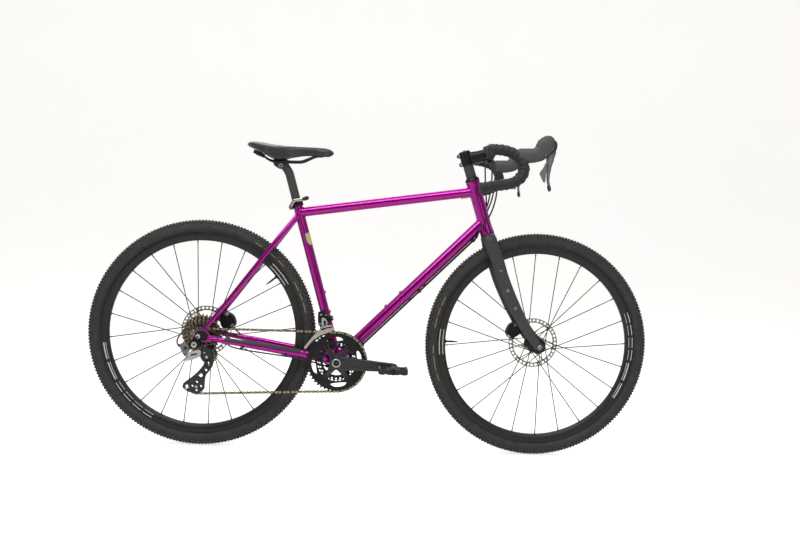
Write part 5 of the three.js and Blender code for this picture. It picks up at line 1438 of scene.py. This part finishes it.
# The link leans outwards as it goes forwards.
SLANT = Matrix(((1, 0, 0, 0), (-0.25, 1, 0, -140.25), (0, 0, 1, 0), (0, 0, 0, 1)))
piece("rd_link_slot_shade", Shape().add(LINK_SLOT_SHADE, SLANT), BLACK, "rd_link")
piece("rd_link_plate", Shape().add(LINK_FACE, SLANT), SILVER, "rd_link", bevel=1.0, angle=40,
      stands_for=["rd_link"])
KNUCKLE = Shape()
KNUCKLE.slab([(-517, 321), (-500, 325), (-476, 315), (-474, 298), (-489, 282), (-508, 281), (-518, 297)], 6,
             -98, -84)
KNUCKLE.slab([(-511, 316), (-498, 319), (-482, 312), (-481, 300), (-491, 289), (-505, 288), (-511, 299)], 5,
             -101.5, -97)
KNUCKLE.turned([(0, -98), (12.4, -98), (13, -96), (13, -72.5), (11, -71.6), (0, -71.6)], GUIDE, Y, 40)
piece("rd_p_knuckle_body", KNUCKLE, GREY, "rd_p_knuckle", bevel=1.6, stands_for=["rd_p_knuckle"])
K_BOLTS = Shape().bolt(V(-504, -101.2, 310), -Y, 2.6, 1.6).bolt(V(-497, -101.2, 297), -Y, 4.6, 1.6)
K_BOLTS.rod(V(-484, -92, 311), V(-480, -92, 318), 2.8, 16)
piece("rd_p_knuckle_bolts", K_BOLTS, SILVER, "rd_p_knuckle", bevel=0.2)

CAGE_OUTLINE = [(-484, 303), (-481, 289), (-486, 262), (-498, 243), (-507, 232), (-509, 214), (-510, 188),
                (-530, 175), (-560, 183), (-575, 194), (-573, 208), (-550, 225), (-527, 247), (-512, 267),
                (-509, 285), (-509, 303)]
CAGE_HOLES = [rounded([(-502, 276), (-500, 261), (-494, 264), (-495, 279)], 2),
              rounded([(-509, 259), (-513, 251), (-505, 243), (-499, 252)], 2.4),
              rounded([(-526, 238), (-532, 231), (-521, 225), (-513, 233), (-517, 243)], 2.4),
              circle(-560.5, 196, 7.6, 20)]
CAGE_HOLES += [circle(x, z, 4.7, 20) for x, z in ((-545.5, 199), (-532, 212), (-532.5, 186), (-519, 199))]
for label, low, high in (("outer", -69.0, -66.9), ("inner", -54.1, -52.0)):
    side = Shape().slab(CAGE_OUTLINE, 6, low, high, CAGE_HOLES)
    piece(f"rd_cage_{label}_plate", side, GREY if label == "outer" else BLACK, "rd_cage",
          bevel=0.5, stands_for=["rd_cage"] if label == "outer" else ())
CAGE_BOLTS = Shape()
for label, hub, phase in (("guide", GUIDE, GUIDE_WHEEL.phase), ("tension", TENSION, TENSION_WHEEL.phase)):
    CAGE_BOLTS.rod(hub - Y * 68, hub - Y * 53, 2.8, 16)
    CAGE_BOLTS.bolt(hub - Y * 68.8, -Y, 4.0, 1.6)
    CAGE_BOLTS.bolt(hub - Y * 52.2, Y, 4.0, 1.4)
    windows = [circle(hub.x, hub.z, 4.6, 24)] + [circle(*polar(hub, 13, angle), 4.4, 14) for angle in turns(4)]
    pulley = Shape().plate(toothed(hub, PULLEY_TEETH, phase, 2.2), SMALL_COG_Y - 0.9, SMALL_COG_Y + 0.9,
                           windows)
    pulley.turned([(3.1, -4.8), (6.6, -4.8), (7.0, -1), (7.0, 1), (6.6, 4.8), (3.1, 4.8)],
                  hub + Y * SMALL_COG_Y, Y, 28)
    piece(f"rd_{label}_pulley_wheel", pulley, PLASTIC, f"rd_{label}_pulley", bevel=0.25,
          stands_for=[f"rd_{label}_pulley"])
piece("rd_cage_bolts", CAGE_BOLTS, SILVER, "rd_cage", bevel=0.15)

# ---------- front derailleur ----------

FD_CLAMP = 132
FD = Shape()
FD.turned([(14.95, -8), (17.6, -8), (18.6, -7.2), (18.6, 7.2), (17.6, 8), (14.95, 8)], on_seat(FD_CLAMP),
          SEAT_UP)
FD.slab([(-168, 440), (-150, 444), (-137, 436), (-134, 414), (-139, 396), (-153, 390), (-165, 396),
         (-168, 418)], 7, -32.4, -19)
FD.slab([(-168, 440), (-150, 444), (-137, 436), (-136.5, 426.6), (-158.4, 426.6), (-158.4, 398.5), (-166, 400),
         (-168, 418)], 3, -38.5, -31)
FD.block(on_seat(FD_CLAMP, 16, 0), (9, 15, 13), SEAT_FRONT, SEAT_UP)
piece("fd_clamp_body", FD, BLACK, "frame", bevel=1.2, stands_for=["fd_body"])
FD_BOLTS = Shape()
for centre, radius, height in ((V(-158, -38.3, 432), 3.0, 2.0), (V(-143, -38.3, 431), 2.4, 1.6),
                               (on_seat(FD_CLAMP, 16, -7), 3.6, 2.6), (V(-161, -38.3, 403), 2.8, 1.8)):
    FD_BOLTS.bolt(centre, -Y, radius, height)
piece("fd_bolts", FD_BOLTS, SILVER, "frame", bevel=0.15)
LINK_WINDOW = rounded([(-150, 415), (-143, 414), (-142, 402), (-148, 400)], 2)
FD_LINK = Shape().slab([(-156, 424), (-144, 423), (-137, 410), (-135, 386), (-147, 383), (-155, 396)], 5, -44.2,
                       -40.6, [LINK_WINDOW])
piece("fd_link_plate", FD_LINK, SILVER, "fd_cage", bevel=0.6)
FD_CAGE = Shape()
OUTER_BAND = [(-207, 330), (-194, 348), (-176, 371), (-158, 389), (-138, 396), (-117, 399), (-114, 388),
              (-133, 380), (-156, 370), (-180, 353), (-192, 338), (-200, 328)]
FD_CAGE.slab(OUTER_BAND, 4, -57, -55.6)
RIB = [(-196, 340), (-178, 362), (-158, 379), (-138, 388), (-122, 391), (-122, 387.5), (-138, 384.5),
       (-156, 375.5), (-175, 360), (-192, 340)]
FD_CAGE.slab(RIB, 2, -58.2, -56.6)
FD_CAGE.block(V(-202, -50.7, 329.5), (6, 12.4, 7), V(0.5, 0, 0.87), V(-0.87, 0, 0.5))
FD_CAGE.slab([(-155, 395), (-138, 402), (-124, 402), (-122, 394), (-138, 392), (-155, 384)], 3, -57, -44.4)
INNER_BAND = [(-207, 330), (-194, 348), (-176, 371), (-158, 389), (-138, 396), (-117, 399), (-114, 383),
              (-133, 375), (-152, 366), (-175, 349), (-187, 334), (-198, 324)]
# The inner cage plate is darker nickel: painted shade behind the outer plate.
piece("fd_cage_inner_plate", Shape().slab(INNER_BAND, 4, -45.8, -44.4), SHADED_NICKEL, "fd_cage",
      bevel=0.3)
piece("fd_cage_plates", FD_CAGE, CAGE_STEEL, "fd_cage", bevel=0.3, stands_for=["fd_cage"])

# ---------- seat post and saddle ----------

POST_LINE = [on_seat(330), on_seat(430), on_seat(545), on_seat(585), V(-277, 0, 872), V(-287, 0, 887),
             V(-298, 0, 897)]
POST = Shape().curve(POST_LINE, 70, POST_R, 44)
POST.tube([V(-306, -17.4, 895), V(-306, 17.4, 895)], [(12, 12)] * 2, 36)
POST.slab([(-326, 900), (-322, 890), (-303, 882), (-284, 888), (-279, 899), (-279, 905), (-326, 905)], 4, -17,
          17)
piece("seat_post_tube", POST, CARBON, "seatpost", bevel=0.5, angle=40, stands_for=["seatpost"])
POST_BOLTS = Shape().bolt(V(-302, -17.6, 892), -Y, 4.9, 3.2, washer=0.8)
POST_BOLTS.rod(V(-302, 17, 892), V(-302, 20.6, 892), 4.6, 24)
piece("seat_post_bolts", POST_BOLTS, SILVER, "seatpost", bevel=0.3)
CLAMPS = Shape()
for side in (-1, 1):
    middle = V(0, side * 22, 905.5)
    cradle = [middle + V(0, 5.8 * cos(t), 5.8 * sin(t)) for t in (pi + pi * k / 12 for k in range(13))]
    cradle += [middle + V(0, 3.7 * cos(t), 3.7 * sin(t)) for t in (TAU - pi * k / 12 for k in range(13))]
    CLAMPS.loft([[p + V(x, 0, 0) for p in cradle] for x in (-325, -281)])
    CLAMPS.block(V(-303, side * 13.5, 901.5), (44, 10, 5))
    CLAMPS.block(V(-303, side * 22, 911), (40, 11, 4.4))
CLAMPS.block(V(-303, 0, 911.8), (26, 44, 4.4))
CLAMPS.block(V(-301, 0, 897), (38, 30, 15))
piece("saddle_clamps", CLAMPS, BLACK, "seatpost", bevel=0.9)
TICKS = Shape()
for k in range(17):
    spot = on_seat(512 + 4.4 * k)
    half = 3.4 if k % 4 else 5.2
    rings = []
    for reach in (POST_R - 0.05, POST_R + 0.15):
        ring = []
        for distance, aside in ((-0.35, -half), (-0.35, half), (0.35, half), (0.35, -half)):
            out = SEAT_FRONT * sin(aside / POST_R) - Y * cos(aside / POST_R)
            ring.append(spot + SEAT_UP * distance + out * reach)
        rings.append(ring)
    TICKS.loft(rings)
piece("seat_post_ticks", TICKS, STEEL, "seatpost")


def saddle_half(x):
    """Half the saddle's width at x: a round rear, a waist and a round nose."""
    t = (x - SADDLE_REAR) / SADDLE_LENGTH
    rear = 71 * sqrt(max(0.0, 1 - ((0.2 - t) / 0.206) ** 2))
    waist = 20 + 51 * exp(-(((t - 0.2) / 0.22) ** 2))
    nose = sqrt(max(0.0, 1 - (max(0.0, t - 0.86) / 0.141) ** 2))
    return max(rear if t < 0.2 else waist, 0.5) * nose


SADDLE_TOP = [(-407, 955), (-399, 960), (-380, 961.5), (-357, 959.5), (-320, 956), (-288, 955), (-242, 955.5),
              (-197, 955.5), (-164, 953), (-152, 950.5), (-144, 946.5), (-139, 939.5)]
SADDLE_LOW = [(-407, 950), (-399, 947), (-387, 943), (-367, 934), (-342, 920), (-321, 912), (-305, 911),
              (-288, 915), (-270, 920), (-238, 926), (-202, 929), (-165, 927), (-152, 928), (-144, 931.5),
              (-139, 937.5)]


def through(table, x):
    """Height at x along a list of points, rounded at each point."""
    total = 0.0
    for place, weight in ((x - 4, 0.25), (x, 0.5), (x + 4, 0.25)):
        place = min(max(place, table[0][0]), table[-1][0])
        (a, low), (b, high) = next(pair for pair in zip(table, table[1:]) if place <= pair[1][0])
        total += weight * (low + (high - low) * (place - a) / (b - a))
    return total


def saddle_top(x):
    return through(SADDLE_TOP, x)


def saddle_skirt(x):
    return max(1.5, through(SADDLE_TOP, x) - through(SADDLE_LOW, x) - 4.0)


def saddle_cover():
    """The padded skin: a low crown with a shallow channel, flanks that roll down, and a hem."""
    count, around = 88, 40
    rings = []
    for i in range(count + 1):
        share = i / count
        eased = 0.5 - 0.5 * cos(pi * share)
        x = SADDLE_REAR + SADDLE_LENGTH * (0.35 * share + 0.65 * eased)
        half, top, drop = saddle_half(x), saddle_top(x), saddle_skirt(x)
        t = (x - SADDLE_REAR) / SADDLE_LENGTH
        ring = []
        for j in range(around + 1):
            angle = radians(-90 + 180 * j / around)
            s, c = sin(angle), abs(cos(angle))
            y = half * copysign(abs(s) ** 0.92, s)
            z = top - drop * (1 - c ** 0.42) - 3.0 * s * s
            channel = exp(-((y / 8.5) ** 2)) * clamp((t - 0.12) / 0.14) * clamp((0.9 - t) / 0.12)
            z -= 2.6 * channel
            puff = exp(-(((abs(y) - 0.52 * half) / (0.24 * half + 1)) ** 2))
            z += 1.6 * puff * clamp((0.5 - t) / 0.3)
            flank = max(0.0, abs(s) - 0.86) / 0.14
            pinch = 0.92 + 0.08 * (1 - flank ** 2) if t < 0.8 else 1.0
            ring.append(V(x, y * pinch, z))
        edge, low = ring[-1].y, top - drop - 3.0
        hem = [(0.97, -1.4), (0.90, -1.6), (0.84, -0.2), (0.80, 2.4)]
        ring += [V(x, edge * share_in, low + lift) for share_in, lift in hem]
        ring += [V(x, -edge * share_in, low + lift) for share_in, lift in hem[::-1]]
        rings.append(ring)
    return Shape().loft(rings)


piece("saddle_skin", saddle_cover(), SKIN, "seatpost", angle=70, subdivide=1, stands_for=["saddle_cover"])
SHELL = Shape()
# Points round the shell's section: a share of its half width, and the height over its lower edge.
SHELL_SECTION = [(1, 4), (0.96, 1), (0.5, 5.5), (0, 7), (-0.5, 5.5), (-0.96, 1), (-1, 4), (-0.6, 9), (0, 10),
                 (0.6, 9)]
rings = []
for k in range(31):
    x = -398 + 250 * k / 30
    half, low = saddle_half(x) * 0.86, saddle_top(x) - saddle_skirt(x) - 1.5
    rings.append([V(x, half * share, low + lift) for share, lift in SHELL_SECTION])
SHELL.loft(rings)
for side in (-1, 1):
    SHELL.block(V(-372, side * 31, 927), (26, 15, 12), V(0.94, 0, -0.34), V(0.34, 0, 0.94))
SHELL.block(V(-184, 0, 929), (24, 30, 10))
piece("saddle_shell", SHELL, PLASTIC, "seatpost", bevel=0.8, stands_for=["saddle_base"])
RAILS = Shape().curve([V(-180, 9, 928), V(-196, 12, 925), V(-212, 16, 918), V(-236, 20.5, 907.5),
                       V(-256, 22, 905.5), V(-292, 22, 905.5), V(-326, 22, 905.5), V(-340, 23, 909),
                       V(-354, 26.5, 918), V(-370, 31, 926)], 60, 3.5, 18)
RAILS.add(RAILS.mirror())
piece("saddle_rails", RAILS, BLACK, "seatpost")

# ---------- cables, hoses and guards ----------

CABLES, CLIPS, CLIP_BOLTS = Shape(), Shape(), Shape()
for y in (-8, 0, 8):
    CABLES.curve([on_down(d, HOUSING_OUT, y) for d in (588, 440, 300, 160, 30)], 40, HOUSING_R)
piece("down_tube_housings", CABLES, HOUSING, "frame", stands_for=["down_tube_cables"])
for distance in (90, 340, 575):
    CLIPS.block(on_down(distance, HOUSING_OUT), (11, 25, 7.4), DOWN_ALONG, DOWN_OUT)
    CLIP_BOLTS.bolt(on_down(distance, -25.0), -DOWN_OUT, 3.2, 2.2)
piece("down_tube_clips", CLIPS, PLASTIC, "frame", bevel=1.2)
piece("down_tube_clip_bolts", CLIP_BOLTS, BLACK, "frame", bevel=0.2)

HOSES = {"shift_housing_right": [V(349, -66, 944), V(357, -46, 934), V(362, -10, 905), V(366, 14, 866),
                                 V(364, 29, 826), V(354, 31, 782), V(336, 30, 738), V(322, 20, 704),
                                 on_down(588, HOUSING_OUT, 8), on_down(574, HOUSING_OUT, 8)],
         "rear_brake_hose": [V(350, -72, 940), V(362, -56, 926), V(370, -22, 896), V(375, 14, 856),
                             V(372, 33, 816), V(358, 36, 774), V(340, 32, 730), V(324, 14, 698),
                             on_down(588, HOUSING_OUT, 0), on_down(574, HOUSING_OUT, 0)],
         "shift_housing_left": [V(349, 66, 944), V(360, 40, 928), V(373, 2, 892), V(378, -20, 842),
                                V(372, -28, 804), V(360, -29, 767), V(345, -29, 740), V(328, -24, 712),
                                on_down(588, HOUSING_OUT, -8), on_down(574, HOUSING_OUT, -8)],}
HOSES_RIDE = ("frame", "steering", V(318, 0, 700), V(372, 0, 880))
for name, points in HOSES.items():
    piece(name, Shape().curve(points, 90, HOUSING_R), HOUSING, HOSES_RIDE)
FRONT_HOSE = [V(350, 70, 941), V(349, 52, 912), V(350, 42, 870), V(354, 40, 830), V(358, 42, 784),
              V(370, 50, 728), V(386, 60, 670), V(400, 61.5, 629), V(416, 68, 560), V(443, 69, 494),
              V(462, 66, 446), V(468, 56, 432)]
piece("front_hose", Shape().curve(FRONT_HOSE, 100, HOUSING_R), HOUSING, "steering",
      stands_for=["front_brake_hose"])
GUIDES = Shape()
for x, y, z in ((402, 61.5, 622), (424, 67.4, 538), (447, 67.6, 484)):
    GUIDES.block(V(x, y - 1.6, z), (9, 9, 10), V(0.9, 0, 0.4), V(-0.4, 0, 0.9))
piece("front_hose_guides", GUIDES, PLASTIC, "steering", bevel=1.4)

LOW_LINES = Shape()
LOW_LINES.curve([on_down(32, HOUSING_OUT, -8), V(-112, -14, 262), V(-150, -30, 273), V(-200, -41, 288),
                 V(-240, -47, 296), V(-290, -53, 303), V(-350, -60, 311), V(-410, -67, 321), V(-436, -62, 328),
                 V(-452, -54, 341), V(-464, -60, 356), V(-480, -74, 368), V(-500, -84, 378), V(-531, -88, 383),
                 V(-553, -90, 380), V(-572, -91, 371), V(-584, -92, 356), V(-589, -92, 342),
                 V(-587, -92, 331.5), V(-581, -92, 327.5)], 150, 2.3)
LOW_LINES.curve([on_down(32, HOUSING_OUT, 0), V(-112, 12, 261), V(-160, 34, 275), V(-235, 49, 294),
                 V(-330, 63, 312), V(-400, 73, 330), V(-430, 72, 352), V(-444, 64, 368)], 80, HOUSING_R)
LOW_LINES.curve([on_down(32, HOUSING_OUT, 8), V(-120, 4, 262), V(-140, -10, 276), V(-149, -20, 320),
                 V(-159, -26, 372), V(-158, -28, 396)], 50, 1.9, 12)
piece("chainstay_housings", LOW_LINES, HOUSING, "frame")
STAY_CLIPS = Shape()
for x, y, z in ((-262, -49, 300), (-398, -66, 320), (-262, 53, 300), (-372, 69, 322)):
    STAY_CLIPS.block(V(x, y, z + 1.2), (9, 9, 8), V(0.98, 0, -0.16), V(0.16, 0, 0.98))
STAY_CLIPS.slab([(-140, 262), (-92, 258), (-84, 264), (-92, 269), (-140, 270)], 3, -14, 14)
piece("stay_clips", STAY_CLIPS, PLASTIC, "frame", bevel=1.2)

GUARD_REAR, GUARD_FRONT = -456, -216
path, sizes = smooth_path(CHAINSTAY, 60, CHAINSTAY_SIZES)
rings = []
for (point, depth, width), (half_depth, half_width) in zip(blade_frames(path), sizes):
    if GUARD_REAR < point.x < GUARD_FRONT:
        depth = -depth if depth.z < 0 else depth
        ring = []
        for lift, order in ((1.7, range(0, 17)), (0.2, range(16, -1, -1))):
            for k in order:
                angle = radians(20 + 144 * k / 16)
                across = width * ((half_width + lift) * cos(angle))
                ring.append(point + across + depth * ((half_depth + lift) * sin(angle)))
        rings.append(ring)
piece("chainstay_guard", Shape().loft(rings).mirror(), GUARD, "frame", angle=50)

# ---------- stage, light and camera ----------

# The floor runs up into a backdrop behind the bicycle, and is far wider than any view of it. (y, z) in metres.
FLOOR_NEAR, BEND_START, BEND_RADIUS, BACKDROP_TOP, HALF_WIDTH = -40, 3.6, 2.4, 9, 60
SWEEP = [(FLOOR_NEAR, 0.0)]
for k in range(25):
    angle = pi / 2 * k / 24
    SWEEP.append((BEND_START + BEND_RADIUS * sin(angle), BEND_RADIUS - BEND_RADIUS * cos(angle)))
SWEEP.append((BEND_START + BEND_RADIUS, BACKDROP_TOP))
floor_mesh = bpy.data.meshes.new("floor")
floor_mesh.from_pydata([(side * HALF_WIDTH, y, z) for y, z in SWEEP for side in (-1, 1)], [],
                       [[2 * k, 2 * k + 1, 2 * k + 3, 2 * k + 2] for k in range(len(SWEEP) - 1)])
floor_mesh.shade_smooth()
PALE = surface("pale_floor", (0.60, 0.595, 0.59), (0.62, 0.615, 0.61), 0.75, grain=2, bump=0.02,
               bump_grain=40, reach=0.2)
pale_tree = PALE.node_tree
pale_shader = pale_tree.nodes["Principled BSDF"]
pale_shader.inputs["Emission Color"].default_value = (1.0, 0.985, 0.965, 1)
# The floor glows a little, and more where the camera sees it, so that it reads as near white.
GLOW, SEEN_GLOW = 0.24, 0.50
glow = pale_tree.nodes.new("ShaderNodeMath")
glow.operation = "MULTIPLY_ADD"
pale_tree.links.new(add_node(pale_tree, "LightPath").outputs["Is Camera Ray"], glow.inputs[0])
glow.inputs[1].default_value, glow.inputs[2].default_value = SEEN_GLOW, GLOW
pale_tree.links.new(glow.outputs["Value"], pale_shader.inputs["Emission Strength"])
floor_mesh.materials.append(PALE)
floor = bpy.data.objects.new("floor", floor_mesh)
bpy.context.scene.collection.objects.link(floor)

# The camera sees a plain pale world. The object is lit by a soft one that is bright in front and dark behind.
WORLD_STRENGTH = 0.62
WORLD_BANDS = ((0.12, 0.06), (0.24, 0.16), (0.38, 0.8), (0.52, 0.9))
world = bpy.data.worlds.new("studio")
bpy.context.scene.world = world
world.use_nodes = True
studio = world.node_tree
studio.nodes.clear()
output = studio.nodes.new("ShaderNodeOutputWorld")
seen = add_node(studio, "Background", Color=(1.0, 1.0, 0.985, 1), Strength=1.0)
split = add_node(studio, "SeparateXYZ", Vector=add_node(studio, "TexCoord").outputs["Generated"])
shift = add_node(studio, "MapRange", From_Min=-1.0, Value=split.outputs["Y"])
bands = add_node(studio, "ValToRGB", Fac=shift.outputs["Result"])
for element, level in zip(bands.color_ramp.elements, (0.05, 0.9)):
    element.color = (level, level, level, 1)
for position, level in WORLD_BANDS:
    bands.color_ramp.elements.new(position).color = (level, level, level, 1)
unseen = add_node(studio, "Background", Color=bands.outputs["Color"], Strength=WORLD_STRENGTH)
mix = add_node(studio, "MixShader", Fac=add_node(studio, "LightPath").outputs["Is Camera Ray"])
studio.links.new(unseen.outputs["Background"], mix.inputs[1])
studio.links.new(seen.outputs["Background"], mix.inputs[2])
studio.links.new(mix.outputs["Shader"], output.inputs["Surface"])


def area_light(name, place, target, size, height, power):
    data = bpy.data.lights.new(name, "AREA")
    data.shape = "RECTANGLE"
    data.size, data.size_y, data.energy = size, height, power
    made = bpy.data.objects.new(name, data)
    made.location = place
    made.rotation_euler = (Vector(target) - Vector(place)).to_track_quat("-Z", "Y").to_euler()
    bpy.context.scene.collection.objects.link(made)


area_light("key", (-0.5, -1.9, 3.3), (0, 0, 0.5), 4.4, 1.6, 92)
area_light("fill", (1.6, -3.6, 1.7), (0, 0, 0.5), 1.8, 1.2, 9)
area_light("back", (0.3, 2.0, 3.0), (0, 0, 0.6), 3.0, 1.0, 30)

CAMERA_PLACE = V(-0.0278, -2.5375, 0.718)
YAW, PITCH, ROLL = radians(2.52), radians(-2.87), radians(2.40)
look = V(sin(YAW) * cos(PITCH), cos(YAW) * cos(PITCH), sin(PITCH))
level_right = V(cos(YAW), -sin(YAW), 0)
level_up = level_right.cross(look)
right = level_right * cos(ROLL) + level_up * sin(ROLL)
up = level_up * cos(ROLL) - level_right * sin(ROLL)
camera_data = bpy.data.cameras.new("camera")
camera_data.sensor_width, camera_data.lens = 36, 36
camera = bpy.data.objects.new("camera", camera_data)
bpy.context.scene.collection.objects.link(camera)
camera.matrix_world = Matrix.Translation(CAMERA_PLACE) @ Matrix((right, up, -look)).transposed().to_4x4()
bpy.context.scene.camera = camera
bpy.context.scene.view_settings.view_transform = "Standard"
